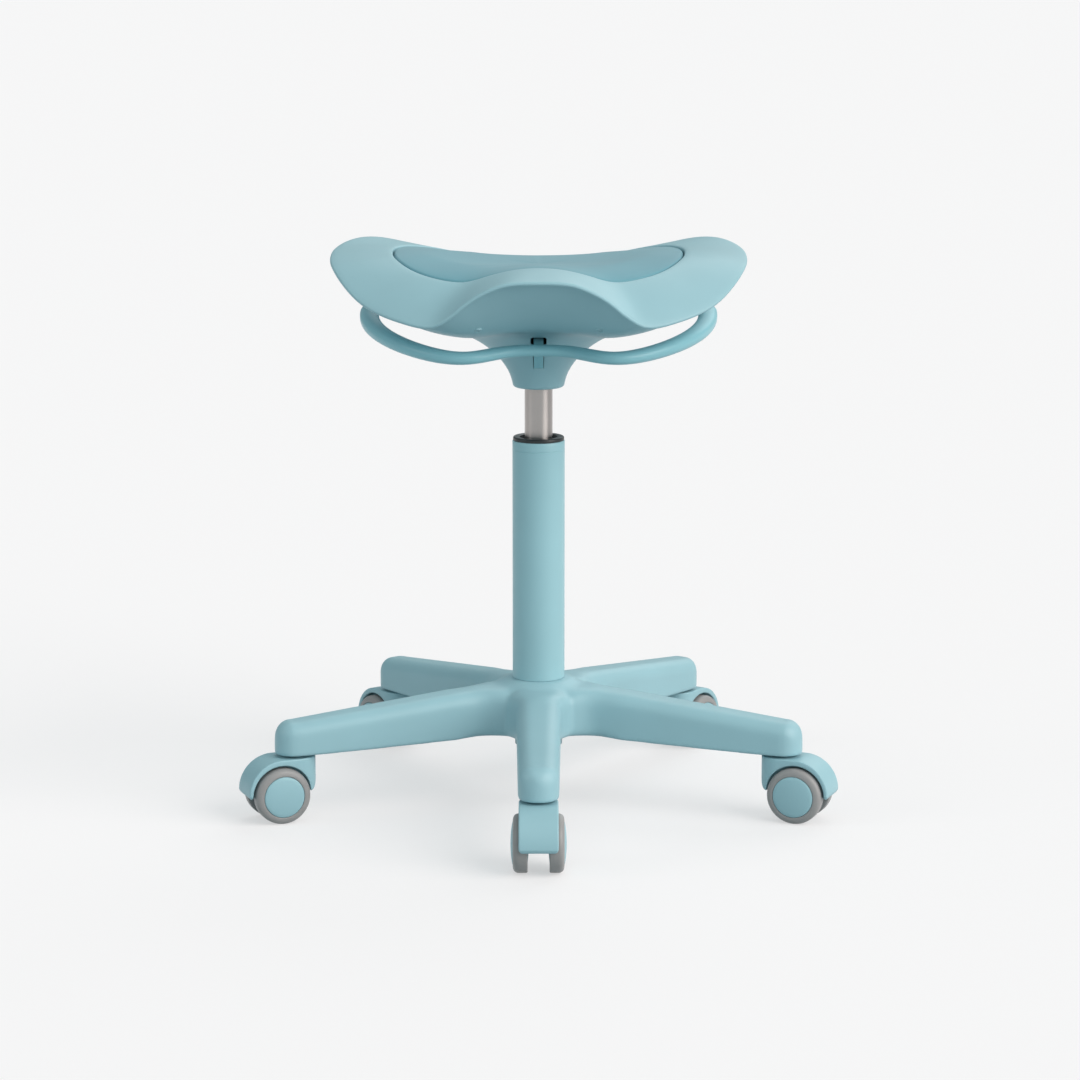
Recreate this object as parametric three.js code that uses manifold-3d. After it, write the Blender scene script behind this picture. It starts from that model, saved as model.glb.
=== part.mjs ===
// A saddle stool: a moulded saddle seat with an inset pad, a gas column with a ring-shaped height
// lever, and a five-legged base on twin-wheel casters.
// Millimetres, +Z up. The origin is on the floor under the column's axis; the front faces -Y.

import * as THREE from 'three';
import { mergeVertices } from 'three/addons/utils/BufferGeometryUtils.js';
import Module from 'manifold-3d';

const wasm = await Module();
wasm.setup();

// Driving dimensions: fits
const seatGap = 0.3; // between pieces that touch or slide on each other
const turningGap = 0.5; // between pieces that turn past each other
const overrun = 2; // how far a cutting shape reaches past what it cuts

// Driving dimensions: base and casters
const legCount = 5;
const pivotCircleRadius = 250.8;
const wheelRadius = 27.5;
const casterHeight = 62.8;
const casterTrail = 18.2;
const collarHeight = 1.8; // the dark gap between a leg and its caster
const legEndRadius = 19.3;
const legEndDepth = 32.7;
const legRootDepth = 47;
const legRootRadius = 60;
const legCrownRadius = 13;
const legWall = 3.6;
const legWebRadius = 28; // the hollow corner between two legs
const legRise = 6.7; // how much higher the underside is at the hub than at the leg end
const hubDepth = 59.4; // from the legs' outer underside up to the hub's top
const hubWall = 7;
const legRibThickness = 2.4;
const legRibInset = 2.5; // how far the ribs stay above the leg's underside
const hubDrop = 13; // from the hub's top down to where it meets the corners between the legs
const stemRadius = 5.5;
const stemLength = 44;
const stemInHood = 21;
const stemCollarRadius = 9;
const hoodHalfWidth = 18.5;
const hoodBackReach = 20.6; // from the pivot to the hood's inner end
const hoodRadius = 33.6; // from the axle to the hood's outer end
const hoodCrownRadius = 33.6;
const hoodTipHeight = 25.5;
const hoodTipRadius = 5;
const hoodBackFoot = 29; // the foot of the hood's back wall
const hoodBackRadius = 19;
const hoodWebHalf = 8.5;
const wellRadius = 29.9;
const axleRadius = 3;
const axleReach = 21;
const axleBossRadius = 9;
const coreRadius = 20.2;
const tyreInner = 10.2; // from the caster's middle plane
const tyreOuter = 23.4;
const capDome = 2.8;
const treadRadius = 2.2; // the tyre's outer shoulder

// Driving dimensions: column and gas spring
const columnRadius = 25.75;
const columnWall = 2;
const tubeLength = 238.2; // the part of the tube that shows above the hub
const columnFootDrop = 15.3; // how far the column reaches down below the hub
const columnFootRadius = 23.4;
const columnShoulderRadius = 24.5; // where the taper starts, just under the visible tube
const clipSpace = 4; // the hollow under the column's floor
const floorThickness = 4;
const cylinderRadius = 13.75;
const cylinderBore = 11;
const cylinderTaperLength = 42;
const cylinderTopRadius = 12.6;
const bushFlangeHeight = 3.4;
const bushFlangeEdge = 1;
const bushFlangeRadius = 25.1;
const bushLength = 70;
const rodRadius = 5;
const pistonRadius = 10.6;
const pistonLength = 14;
const rodCollarRadius = 8;
const rodCollarThickness = 3;
const rodBushLength = 18;
const rodEnd = 3.2; // how far the rod reaches under the column's floor
const rodClipRadius = 8;
const rodClipThickness = 1.6;
const bearingRadius = 16;
const bearingThickness = 6;
const damperRadius = 15;
const damperThickness = 14;
const lowerTravel = 22; // from the height shown down to the lowest seat
const upperTravel = 163; // from the height shown up to the highest seat
const cylinderEndWall = 5;
const valveRadius = 4;
const valvePassageRadius = 1;
const valveStroke = 2.6;
const valveHeight = 6; // the button above the cylinder's top
const valveLength = 26;

// Driving dimensions: seat
const seatHalfWidth = 203;
const seatFrontReach = 165;
const seatRearReach = 152;
const seatRise = 120; // from the neck's foot up to the seat's middle
const rimLowDrop = 43; // from the seat's middle down to the rim's lowest place
const rimHighRise = 18; // and up to its highest
const wingRise = 38;
const pommelRise = 10;
const pommelHalfWidth = 52;
const rimThickness = 4;
const seatFloorThickness = 4;
const recessDepth = 7;
const grooveWidth = 1.8;
const padEdgeRadius = 3;
const padSink = 0.8; // how far the pad's edge lies below the shell around it
const padCrown = 1.6;
const coverWall = 2.8;
const neckRadius = 25;
const shownCylinder = 49.1; // between the bush and the neck, at the height shown
const neckStraight = 4; // from the neck's foot up to where it flares
const neckEdgeRadius = 3.5;
const coneRadius = 72; // where the neck's cone meets the belly
const coneDrop = 57; // its edge below the seat's middle, in front and behind
const coneSideDrop = 68;
const bellyLowDrop = 66;
const bellyHighDrop = 29;
const bossRadius = 5.5;

// Driving dimensions: ring-shaped lever
const ringHalfWidth = 167.6;
const ringWidestReach = 50; // how far behind the column the ring is widest
const ringFrontReach = 165;
const ringRearReach = 68;
const ringDent = 43; // how far the ring's front is drawn in towards the neck
const ringDentHalfWidth = 54.5;
const ringDrop = 17; // from the cone's edge down to the middle of the ring's front
const ringTiltDegrees = 8.9;
const ringWidth = 19;
const ringThickness = 11;
const ringSideThickness = 14.5;
const ringSideLift = 3.4; // how much the ring's sides are bent up
const bladeThickness = 9.4;
const slotHalfWidth = 6.4;
const slotDepth = 24; // below the middle of the ring's front
const slotHeadroom = 7; // above the blade
const slotShoulderDrop = 2; // from the blade's top down to where the slot widens
const slotShoulderHalfWidth = 8.6;
const pivotReach = 27; // the lever's pin in front of the column's axis
const pivotDrop = 40; // from the mount's plate down to the lever's pin
const pinRadius = 2.5;
const lugThickness = 5;
const lugRadius = 7;
const leverDrop = 5; // from the pivot down to the top of the valve
const leverHeadroom = 9.5;
const bladeRise = 4; // its top above the middle of the ring's front
const bladeRunIn = 40; // how far in front of the axis its upper edge starts to climb
const bladeDrop = 0.5; // the blade's foot above the slot's foot

// Driving dimensions: pedestal and screws
const pedestalRadius = 18;
const pedestalWaistRadius = 25;
const pedestalRootRadius = 36;
const plateHalfWidth = 52;
const plateThickness = 4;
const plateDrop = 11; // from the shell's underside down to the plate's top
const plateCornerRadius = 14;
const plateRibDepth = 9;
const mountScrewReach = 42;
const mountScrewRadius = 3;
const coverScrewAcross = 57;
const coverScrewAlong = 60;
const coverScrewRadius = 2;
const screwHeadRadius = 4;
const screwHeadHeight = 3;
const mountScrewGrip = 10;
const coverScrewGrip = 12;
const screwTipGap = 1;
const pocketFloor = 2;
const pocketDepth = 20;

// Heights that follow
const legUnderHeight = casterHeight + collarHeight;
const hubFoot = legUnderHeight + legRise;
const hubHeight = legUnderHeight + hubDepth;
const columnFoot = hubFoot - columnFootDrop;
const columnTop = hubHeight + tubeLength;
const neckFoot = columnTop + seatGap + bushFlangeHeight + shownCylinder;
const neckFlareHeight = neckFoot + neckStraight;
const seatMidHeight = neckFoot + seatRise;
const rimLowHeight = seatMidHeight - rimLowDrop;
const rimHighHeight = seatMidHeight + rimHighRise;
const coneHeight = seatMidHeight - coneDrop;
const coneSideHeight = seatMidHeight - coneSideDrop;
const bellyLowHeight = seatMidHeight - bellyLowDrop;
const bellyHighHeight = seatMidHeight - bellyHighDrop;
const plateTop = seatMidHeight - recessDepth - seatFloorThickness - plateDrop;
const pivotHeight = plateTop - pivotDrop;
const ringFrontHeight = coneHeight - ringDrop;
const bladeTop = ringFrontHeight + bladeRise;
const slotFoot = ringFrontHeight - slotDepth;
const slotTop = bladeTop + slotHeadroom;
const slotShoulderHeight = bladeTop - slotShoulderDrop;

// Shapes given as shares of the sizes above
const seatPlanPower = 2.3;
const rollStartShare = 0.45;
const rollPower = 2.2;
const wingPower = 2.2;
// Round the rim from the front middle (0) to the rear middle (1), height from rimLow (0) to rimHigh (1)
const rimHeightShares = [
  [0, 0.735], [0.06, 0.705], [0.1, 0.57], [0.13, 0.4], [0.16, 0.165], [0.192, 0], [0.245, 0.06],
  [0.317, 0.255], [0.394, 0.61], [0.44, 0.76], [0.56, 0.925], [0.65, 1.005], [0.72, 0.9],
  [0.82, 0.57], [1, 0.325],
];
// The cover's belly half way in, from bellyLow (0) to bellyHigh (1)
const bellyShares = [[0, 0.5], [0.19, 0], [0.3, 0.05], [0.5, 0.3], [0.8, 0.85], [1, 1]];
const bellyReachShare = 0.74;
// The cone between neck and belly, as a curve's two control points from neck (0) to belly (1)
const coneReachShares = [0.064, 0.32];
const coneRiseShares = [0.31, 0.81];
const pommelStartShare = 0.7;
const slopeStepShare = 0.002;
const floorShares = [0.5, 1];
const bandShares = [0.3, 0.6, 0.83];
const undersideShares = [0.88, 0.7, 0.35];
const trimShares = [0.3, 0.6, 0.9];
const padShares = [0.75, 0.4];
const padCrownPower = 4;
const coneShares = [0.25, 0.6, 1];
const bellyStepShares = [0.35, 0.7];
const screwHeadShare = 0.8;
const pedestalWaistShare = 0.6;
const legCornerShare = 0.8;
const legCornerDepthShare = 0.6;
const hubSkirtShare = 0.72;
const hubFlatShare = 0.8;
const hubRoundShares = [[1, 1], [0.93, 0.55], [0.8, 0.2]];
const legRootShares = [0.2, 0.6, 0.7, 0.82, 1];
const legEndShares = [0.45, 0.8, 0.97];
const hollowShares = [0.8, 1];
const axleBossShares = [[-1, 0.6], [-0.5, 1], [0.5, 1]];
const capShares = [0.6, 0.75];
// The pad's recess from the seat's centre (0) to the rim (1), round from front to rear
const recessShares = [[0, 0.66], [0.19, 0.71], [0.5, 0.7], [0.75, 0.77], [1, 0.79]];
const thinStartShare = 0.7;
const thinEndShare = 0.86;
const coverEdgeShare = 0.955;
const ringPlanPower = 2.1;
const ringDentPower = 3.35;
const ringSectionPower = 2.6;
const legRibShares = [-0.5, 0, 0.5]; // across the leg's hollow

// Counts and angles
const seatSteps = 48;
const ringSteps = 48;
const ringSides = 8;
const bossSides = 8;
const smallSides = 12; // pins, stems and washers
const wellSides = 22;
const axleSides = 10;
const turnedSides = 26; // tubes and collars
const hubSides = 30;
const wheelSegments = 16;
const hoodArcSteps = 5;
const plateArcSteps = 3;
const rimAngles = [80, 0, -80];
const padEdgeAngles = [0, 30, 70];
const bisections = 40;
const mergeTolerance = 1e-5;
const legCornerAngles = [0, 45, 90];
const casterTurnDegrees = [0, -4, 0, 0, 4]; // how far each caster stands turned away from its leg
const legAngles = Array.from({ length: legCount }, (_, i) => (i / legCount - 0.25) * 2 * Math.PI);

const baseColour = 0x9cc4cc;
const padColour = 0x86b3bf;
const blue = (name) => ({ name, color: baseColour, roughness: 0.5, metalness: 0 });
const steel = (name) => ({ name, color: 0xb4b0ac, roughness: 0.35, metalness: 0.9 });
const darkPlastic = (name) => ({ name, color: 0x202326, roughness: 0.5, metalness: 0 });
const greyRubber = (name) => ({ name, color: 0x979291, roughness: 0.6, metalness: 0 });

const smooth = (x) => {
  const t = THREE.MathUtils.clamp(x, 0, 1);
  return t * t * (3 - 2 * t);
};
const signedPower = (v, power) => Math.sign(v) * Math.abs(v) ** power;

// A smooth curve through [position, value] pairs, flat at both ends.
function curveThrough(pairs, at) {
  const last = pairs.length - 1;
  const slope = (i) => {
    if (i === 0 || i === last) return 0;
    return (pairs[i + 1][1] - pairs[i - 1][1]) / (pairs[i + 1][0] - pairs[i - 1][0]);
  };
  let i = 0;
  while (i < last - 1 && at > pairs[i + 1][0]) i += 1;
  const span = pairs[i + 1][0] - pairs[i][0];
  const t = (at - pairs[i][0]) / span;
  const rise = pairs[i + 1][1] - pairs[i][1];
  const a = slope(i) * span - rise;
  const b = rise - slope(i + 1) * span;
  return pairs[i][1] + rise * t + t * (1 - t) * (a * (1 - t) + b * t);
}

// A closed body from rings of points. Without end points the last ring joins the first.
function ringSolid(rings, startPoint, endPoint) {
  const count = rings[0].length;
  const points = rings.flat();
  const faces = [];
  const at = (ring, j) => ring * count + (j % count);
  const bands = startPoint ? rings.length - 1 : rings.length;
  for (let i = 0; i < bands; i += 1) {
    const next = (i + 1) % rings.length;
    for (let j = 0; j < count; j += 1) {
      faces.push(at(i, j), at(next, j), at(next, j + 1), at(i, j), at(next, j + 1), at(i, j + 1));
    }
  }
  if (startPoint) {
    const first = points.push(startPoint) - 1;
    const final = points.push(endPoint) - 1;
    for (let j = 0; j < count; j += 1) {
      faces.push(first, at(0, j), at(0, j + 1));
      faces.push(at(rings.length - 1, j), final, at(rings.length - 1, j + 1));
    }
  }
  const geometry = new THREE.BufferGeometry();
  geometry.setAttribute('position', new THREE.Float32BufferAttribute(
    points.flatMap((p) => [p.x, p.y, p.z]), 3));
  geometry.setIndex(faces);
  return geometry;
}

// A turned body about +Z from [radius, height] points that close on themselves or end on the axis.
function turned(profile, segments) {
  const closed = profile.every(([radius]) => radius > 0) ? [...profile, profile[0]] : profile;
  const geometry = new THREE.LatheGeometry(
    closed.map(([radius, height]) => new THREE.Vector2(radius, height)), segments);
  return geometry.rotateX(Math.PI / 2);
}

// An outline in the YZ plane, thickness across X, centred on x = 0.
function sideProfile(points, thickness) {
  const shape = new THREE.Shape(points.map(([y, z]) => new THREE.Vector2(y, z)));
  const geometry = new THREE.ExtrudeGeometry(shape, { depth: thickness, bevelEnabled: false });
  geometry.translate(0, 0, -thickness / 2);
  geometry.rotateX(Math.PI / 2);
  return geometry.rotateZ(Math.PI / 2);
}

function box(centre, size) {
  return new THREE.BoxGeometry(...size).translate(...centre);
}

function uprightCylinder(radius, foot, top, x = 0, y = 0, segments = turnedSides) {
  const geometry = new THREE.CylinderGeometry(radius, radius, top - foot, segments);
  return geometry.rotateX(Math.PI / 2).translate(x, y, (foot + top) / 2);
}

// Joining and cutting
function solid(geometry) {
  const bare = geometry.clone();
  bare.deleteAttribute('normal');
  bare.deleteAttribute('uv');
  const merged = mergeVertices(bare, mergeTolerance);
  const index = Array.from(merged.index.array);
  const faces = [];
  for (let i = 0; i < index.length; i += 3) {
    const [a, b, c] = index.slice(i, i + 3);
    if (a !== b && b !== c && c !== a) faces.push(a, b, c);
  }
  const position = merged.attributes.position;
  let volume = 0;
  const corner = (i) => new THREE.Vector3().fromBufferAttribute(position, i);
  for (let i = 0; i < faces.length; i += 3) {
    volume += corner(faces[i]).dot(corner(faces[i + 1]).cross(corner(faces[i + 2])));
  }
  if (volume < 0) faces.reverse();
  return new wasm.Manifold(new wasm.Mesh({
    numProp: 3, vertProperties: new Float32Array(position.array), triVerts: new Uint32Array(faces) }));
}

function geometryOf(body) {
  const mesh = body.getMesh();
  const geometry = new THREE.BufferGeometry();
  geometry.setAttribute('position', new THREE.Float32BufferAttribute(mesh.vertProperties, 3));
  geometry.setIndex(new THREE.Uint32BufferAttribute(mesh.triVerts, 1));
  return geometry;
}

const joined = (bodies) => bodies.reduce((sum, body) => sum.add(body));
const cut = (body, cutters) => cutters.reduce((rest, cutter) => rest.subtract(cutter), body);

const root = new THREE.Group();

function place(parent, geometry, finish) {
  const { name, ...look } = finish;
  const mesh = new THREE.Mesh(geometry, new THREE.MeshStandardMaterial(look));
  mesh.name = name;
  parent.add(mesh);
  return mesh;
}

// The seat's surfaces. turn runs once round the seat from the front middle, share from centre to rim.
const turns = Array.from({ length: seatSteps }, (_, i) => i / seatSteps);
const fold = (turn) => 1 - Math.abs(1 - 2 * turn);

function rimPlan(turn) {
  const angle = 2 * Math.PI * turn;
  const across = Math.sin(angle);
  const along = -Math.cos(angle);
  const reach = along < 0 ? seatFrontReach : seatRearReach;
  const scale = (Math.abs(across / seatHalfWidth) ** seatPlanPower
    + Math.abs(along / reach) ** seatPlanPower) ** (-1 / seatPlanPower);
  return new THREE.Vector2(across * scale, along * scale);
}

function saddleHeight(x, y) {
  const wing = wingRise * Math.abs(x / seatHalfWidth) ** wingPower;
  const pommel = pommelRise * Math.exp(-((x / pommelHalfWidth) ** 2))
    * smooth(-y / seatFrontReach / pommelStartShare);
  return seatMidHeight + wing + pommel;
}

function seatTop(turn, share) {
  const rim = rimPlan(turn);
  const x = rim.x * share;
  const y = rim.y * share;
  const rimShare = curveThrough(rimHeightShares, fold(turn));
  const rimHeight = rimLowHeight + rimShare * (rimHighHeight - rimLowHeight);
  const roll = Math.max(0, (share - rollStartShare) / (1 - rollStartShare)) ** rollPower;
  const drop = (saddleHeight(rim.x, rim.y) - rimHeight) * roll;
  return new THREE.Vector3(x, y, saddleHeight(x, y) - drop);
}

// The unit vector that stands on a surface given by turn and share.
function normalOf(surface, turn, share) {
  const step = slopeStepShare;
  const inner = Math.max(share, 2 * step);
  const outwards = surface(turn, inner + step).sub(surface(turn, inner - step));
  const around = surface(turn + step, inner).sub(surface(turn - step, inner));
  return outwards.cross(around).normalize();
}

function sunk(surface, turn, share, depth) {
  return surface(turn, share).addScaledVector(normalOf(surface, turn, share), -depth);
}

const rimRadius = (turn) => rimPlan(turn).length();
const recessShare = (turn) => curveThrough(recessShares, fold(turn));
const shellThickness = (share) => THREE.MathUtils.lerp(recessDepth + seatFloorThickness, rimThickness,
  smooth((share - thinStartShare) / (thinEndShare - thinStartShare)));
const shellUnderside = (turn, share) => sunk(seatTop, turn, share, shellThickness(share));
const ringOf = (pointAt) => turns.map(pointAt);

// The rim's half round, from above (90 degrees) to below (-90)
const edgeShare = (turn) => 1 - rimThickness / 2 / rimRadius(turn);
function rimPoint(turn, degrees) {
  const angle = THREE.MathUtils.degToRad(degrees);
  const start = seatTop(turn, edgeShare(turn));
  const outwards = seatTop(turn, 1).sub(start).normalize();
  return start
    .addScaledVector(normalOf(seatTop, turn, edgeShare(turn)), rimThickness / 2 * (Math.sin(angle) - 1))
    .addScaledVector(outwards, rimThickness / 2 * Math.cos(angle));
}

// A point just under the shell's edge, which runs straight between two rings of points
function underEdge(turn, share, gap) {
  const innerShare = undersideShares[0];
  const outer = rimPoint(turn, rimAngles[rimAngles.length - 1]);
  return shellUnderside(turn, innerShare)
    .lerp(outer, (share - innerShare) / (edgeShare(turn) - innerShare))
    .addScaledVector(normalOf(seatTop, turn, share), -gap);
}

// seat_shell: recess floor, recess wall, outer band, half-round rim, underside
function seatShell() {
  const rings = [];
  for (const s of floorShares) {
    rings.push(ringOf((t) => sunk(seatTop, t, s * recessShare(t), recessDepth)));
  }
  rings.push(ringOf((t) => seatTop(t, recessShare(t) + seatGap / rimRadius(t))));
  for (const s of bandShares) {
    rings.push(ringOf((t) => seatTop(t, THREE.MathUtils.lerp(recessShare(t), edgeShare(t), s))));
  }
  for (const degrees of rimAngles) rings.push(ringOf((t) => rimPoint(t, degrees)));
  for (const s of undersideShares) {
    rings.push(ringOf((t) => shellUnderside(t, s)));
  }
  const centre = seatTop(0, 0);
  const floor = centre.clone();
  floor.z -= recessDepth;
  const under = floor.clone();
  under.z -= seatFloorThickness;
  return solid(ringSolid(rings, floor, under));
}

// Everything above the middle of the shell's floor, to trim what stands under the shell.
function aboveShell() {
  const depthOf = (s) => shellThickness(s) - seatFloorThickness / 2;
  const rings = trimShares.map((s) => ringOf((t) => sunk(seatTop, t, s, depthOf(s))));
  const lid = rings[rings.length - 1].map((point) => point.clone().setZ(rimHighHeight + wingRise));
  const centre = seatTop(0, 0);
  const under = centre.clone();
  under.z -= depthOf(0);
  const above = centre.clone();
  above.z = rimHighHeight + wingRise;
  return solid(ringSolid([...rings, lid], under, above));
}

// A point just above the recess's floor, which runs straight between two rings of points
function padFoot(turn, share) {
  const [innerShare, outerShare] = floorShares.map((s) => s * recessShare(turn));
  const inner = sunk(seatTop, turn, innerShare, recessDepth);
  const outer = sunk(seatTop, turn, outerShare, recessDepth);
  return inner.lerp(outer, (share - innerShare) / (outerShare - innerShare))
    .addScaledVector(normalOf(seatTop, turn, share), seatGap);
}

// seat_pad: crowned, with drawn-in edges, in the recess
function seatPad() {
  const edge = (t) => recessShare(t) - grooveWidth / rimRadius(t);
  const crownAt = (s) => padCrown * (1 - s ** padCrownPower) - padSink;
  const rings = [
    ringOf((t) => padFoot(t, floorShares[0] * recessShare(t))),
    ringOf((t) => padFoot(t, edge(t))),
  ];
  for (const degrees of padEdgeAngles) {
    const angle = THREE.MathUtils.degToRad(degrees);
    const inset = padEdgeRadius * (1 - Math.cos(angle));
    const sink = padEdgeRadius * (1 - Math.sin(angle)) + padSink;
    rings.push(ringOf((t) => sunk(seatTop, t, edge(t) - inset / rimRadius(t), sink)));
  }
  for (const s of padShares) rings.push(ringOf((t) => sunk(seatTop, t, s * edge(t), -crownAt(s))));
  const crown = seatTop(0, 0);
  const under = crown.clone();
  crown.z += crownAt(0);
  under.z -= recessDepth - seatGap;
  return solid(ringSolid(rings, under, crown));
}

const coneTop = (turn) => THREE.MathUtils.lerp(coneHeight, coneSideHeight,
  Math.sin(2 * Math.PI * turn) ** 2);

// The cover's cone: share 0 at the neck, 1 where it meets the belly
function coneSurface(turn, share) {
  const top = coneTop(turn);
  const curve = new THREE.CubicBezierCurve(
    new THREE.Vector2(neckRadius, neckFlareHeight),
    ...coneReachShares.map((reach, i) => new THREE.Vector2(
      THREE.MathUtils.lerp(neckRadius, coneRadius, reach),
      THREE.MathUtils.lerp(neckFlareHeight, top, coneRiseShares[i]))),
    new THREE.Vector2(coneRadius, top));
  const point = curve.getPoint(share);
  return around(turn, point.x, point.y);
}

// The cover's belly: share 0 at the cone, 1 under the seat's rim
function bellySurface(turn, share) {
  const edge = underEdge(turn, coverEdgeShare, seatGap);
  const across = Math.hypot(edge.x, edge.y);
  const belly = THREE.MathUtils.lerp(bellyLowHeight, bellyHighHeight,
    curveThrough(bellyShares, fold(turn)));
  const curve = new THREE.QuadraticBezierCurve(
    new THREE.Vector2(coneRadius, coneTop(turn)),
    new THREE.Vector2(across * bellyReachShare, belly),
    new THREE.Vector2(across, edge.z));
  const point = curve.getPoint(share);
  return around(turn, point.x, point.y);
}

// A point at a distance from the axis, in the direction of the rim's point at that turn
function around(turn, radius, height) {
  const rim = rimPlan(turn);
  const angle = Math.atan2(rim.y, rim.x);
  return new THREE.Vector3(radius * Math.cos(angle), radius * Math.sin(angle), height);
}

const neckCircle = (radius, height) => ringOf((t) => around(t, radius, height));

// The space inside the cover's outer surface, as one plug
function coverPlug() {
  const rings = [
    neckCircle(neckRadius - neckEdgeRadius, neckFoot),
    neckCircle(neckRadius, neckFoot + neckEdgeRadius),
    neckCircle(neckRadius, neckFlareHeight),
    ...coneShares.map((s) => ringOf((t) => coneSurface(t, s))),
    ...bellyStepShares.map((s) => ringOf((t) => bellySurface(t, s))),
    ringOf((t) => bellySurface(t, 1)),
    ...undersideShares.map((s) => ringOf((t) => sunk(shellUnderside, t, s, seatGap))),
  ];
  const top = seatTop(0, 0);
  top.z -= shellThickness(0) + seatGap;
  return solid(ringSolid(rings, new THREE.Vector3(0, 0, neckFoot), top));
}

// The same plug, a wall's thickness smaller
function coverHollow() {
  const inside = neckRadius - coverWall;
  const edge = (t) => coverEdgeShare - 2 * coverWall / rimRadius(t);
  const rings = [
    neckCircle(inside, neckFoot + coverWall),
    neckCircle(inside, neckFlareHeight),
    ...coneShares.map((s) => ringOf(
      (t) => sunk(coneSurface, t, Math.min(s, 1 - 2 * slopeStepShare), -coverWall))),
    ...bellyStepShares.map((s) => ringOf((t) => sunk(bellySurface, t, s, -coverWall))),
    ringOf((t) => underEdge(t, edge(t), -overrun)),
    ...undersideShares.map((s) => ringOf((t) => sunk(shellUnderside, t, s, -overrun))),
  ];
  const top = seatTop(0, 0);
  top.z += overrun - shellThickness(0);
  return solid(ringSolid(rings, new THREE.Vector3(0, 0, neckFoot + coverWall), top));
}

// Places that follow from the driving dimensions
const legEndReach = pivotCircleRadius + legEndRadius;
const socketDepth = stemLength - stemInHood - collarHeight;
const columnSeatHeight = hubHeight + seatGap;
const floorTop = columnFoot + clipSpace + floorThickness;
const bearingFoot = floorTop + seatGap;
const rodCollarFoot = bearingFoot + bearingThickness + seatGap;
const damperFoot = rodCollarFoot + rodCollarThickness + seatGap;
const cylinderFoot = damperFoot + damperThickness + seatGap + lowerTravel;
const pistonFoot = cylinderFoot + upperTravel + rodBushLength + pistonLength / 2;
const valveTop = pivotHeight - leverDrop;
const cylinderTop = valveTop - valveHeight;
const pedestalFoot = neckFoot + coverWall + seatGap;
const ringFrontY = ringWidestReach - ringFrontReach + ringDent;

// Seat: shell, pad and cover
function coverHeightAt(x, y) {
  const turn = Math.atan2(x, -y) / (2 * Math.PI);
  const wrapped = turn < 0 ? turn + 1 : turn;
  const surface = Math.hypot(x, y) < coneRadius ? coneSurface : bellySurface;
  let low = 0;
  let high = 1;
  for (let i = 0; i < bisections; i += 1) {
    const middle = (low + high) / 2;
    const point = surface(wrapped, middle);
    if (Math.hypot(point.x, point.y) < Math.hypot(x, y)) low = middle;
    else high = middle;
  }
  return surface(wrapped, low).z;
}

const sides = [['left', -1], ['right', 1]];
const ends = [['front', -1], ['rear', 1]];
const corners = ends.flatMap(([end, along]) => sides.map(
  ([side, across]) => ({ label: `${end}_${side}`, across, along })));

const coverScrews = corners.map(({ label, across, along }) => {
  const x = across * coverScrewAcross;
  const y = along * coverScrewAlong;
  const headTop = coverHeightAt(x, y) + 2 * screwHeadHeight;
  const pocketTop = headTop + seatGap + pocketFloor;
  return { label, x, y, headTop, pocketTop, tip: headTop + coverScrewGrip };
});
const mountScrews = corners.map(({ label, across, along }) => {
  const headTop = plateTop - plateThickness - seatGap;
  return { label, x: across * mountScrewReach, y: along * mountScrewReach, headTop,
    tip: headTop + mountScrewGrip };
});

function seatShellWithBosses() {
  const trim = aboveShell();
  const bossTop = seatMidHeight + wingRise;
  const bosses = [
    ...coverScrews.map(({ x, y, pocketTop, tip }) => [x, y, pocketTop + seatGap, coverScrewRadius, tip]),
    ...mountScrews.map(({ x, y, tip }) => [x, y, plateTop + seatGap, mountScrewRadius, tip]),
  ];
  const posts = bosses.map(([x, y, foot]) => solid(
    uprightCylinder(bossRadius, foot, bossTop, x, y, bossSides)).subtract(trim));
  const holes = bosses.map(([x, y, foot, radius, tip]) => solid(uprightCylinder(radius + seatGap,
    foot - overrun, tip + screwTipGap, x, y, bossSides)));
  return cut(joined([seatShell(), ...posts]), holes);
}

function underShell() {
  const plug = coverPlug();
  const wall = plug.subtract(coverHollow());
  const pockets = coverScrews.map(({ x, y, pocketTop }) => solid(uprightCylinder(
    screwHeadRadius + coverWall, pocketTop - pocketDepth, pocketTop, x, y, bossSides)).intersect(plug));
  const recesses = coverScrews.flatMap(({ x, y, pocketTop }) => [
    solid(uprightCylinder(screwHeadRadius + turningGap, pocketTop - pocketDepth,
      pocketTop - pocketFloor, x, y, bossSides)),
    solid(uprightCylinder(coverScrewRadius + seatGap, pocketTop - pocketDepth,
      pocketTop + overrun, x, y, bossSides)),
  ]);
  const neckHole = solid(uprightCylinder(cylinderRadius + turningGap, neckFoot - overrun,
    pedestalFoot + overrun));
  const slotReach = coneRadius + overrun;
  const slot = solid(box([0, -slotReach / 2 - pedestalRadius / 2, (slotFoot + slotTop) / 2],
    [2 * slotHalfWidth, slotReach - pedestalRadius, slotTop - slotFoot]));
  const slotShoulder = solid(box([0, -slotReach / 2 - pedestalRadius / 2, (slotShoulderHeight + slotTop) / 2],
    [2 * slotShoulderHalfWidth, slotReach - pedestalRadius, slotTop - slotShoulderHeight]));
  const shellRoom = seatShell().translate([0, 0, -2 * seatGap]);
  return cut(joined([wall, ...pockets]), [...recesses, neckHole, slot, slotShoulder, shellRoom]);
}

// A screw pointing up: head below, shank above
function screw(radius, headTop, tip) {
  const headFoot = headTop - screwHeadHeight;
  return turned([
    [0, headFoot], [screwHeadRadius * screwHeadShare, headFoot],
    [screwHeadRadius, headTop], [radius, headTop], [radius, tip], [0, tip],
  ], bossSides);
}

function leverPinHole() {
  const radius = pinRadius + seatGap;
  return new THREE.CylinderGeometry(radius, radius, plateHalfWidth, smallSides)
    .rotateZ(Math.PI / 2).translate(0, -pivotReach, pivotHeight);
}

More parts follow.
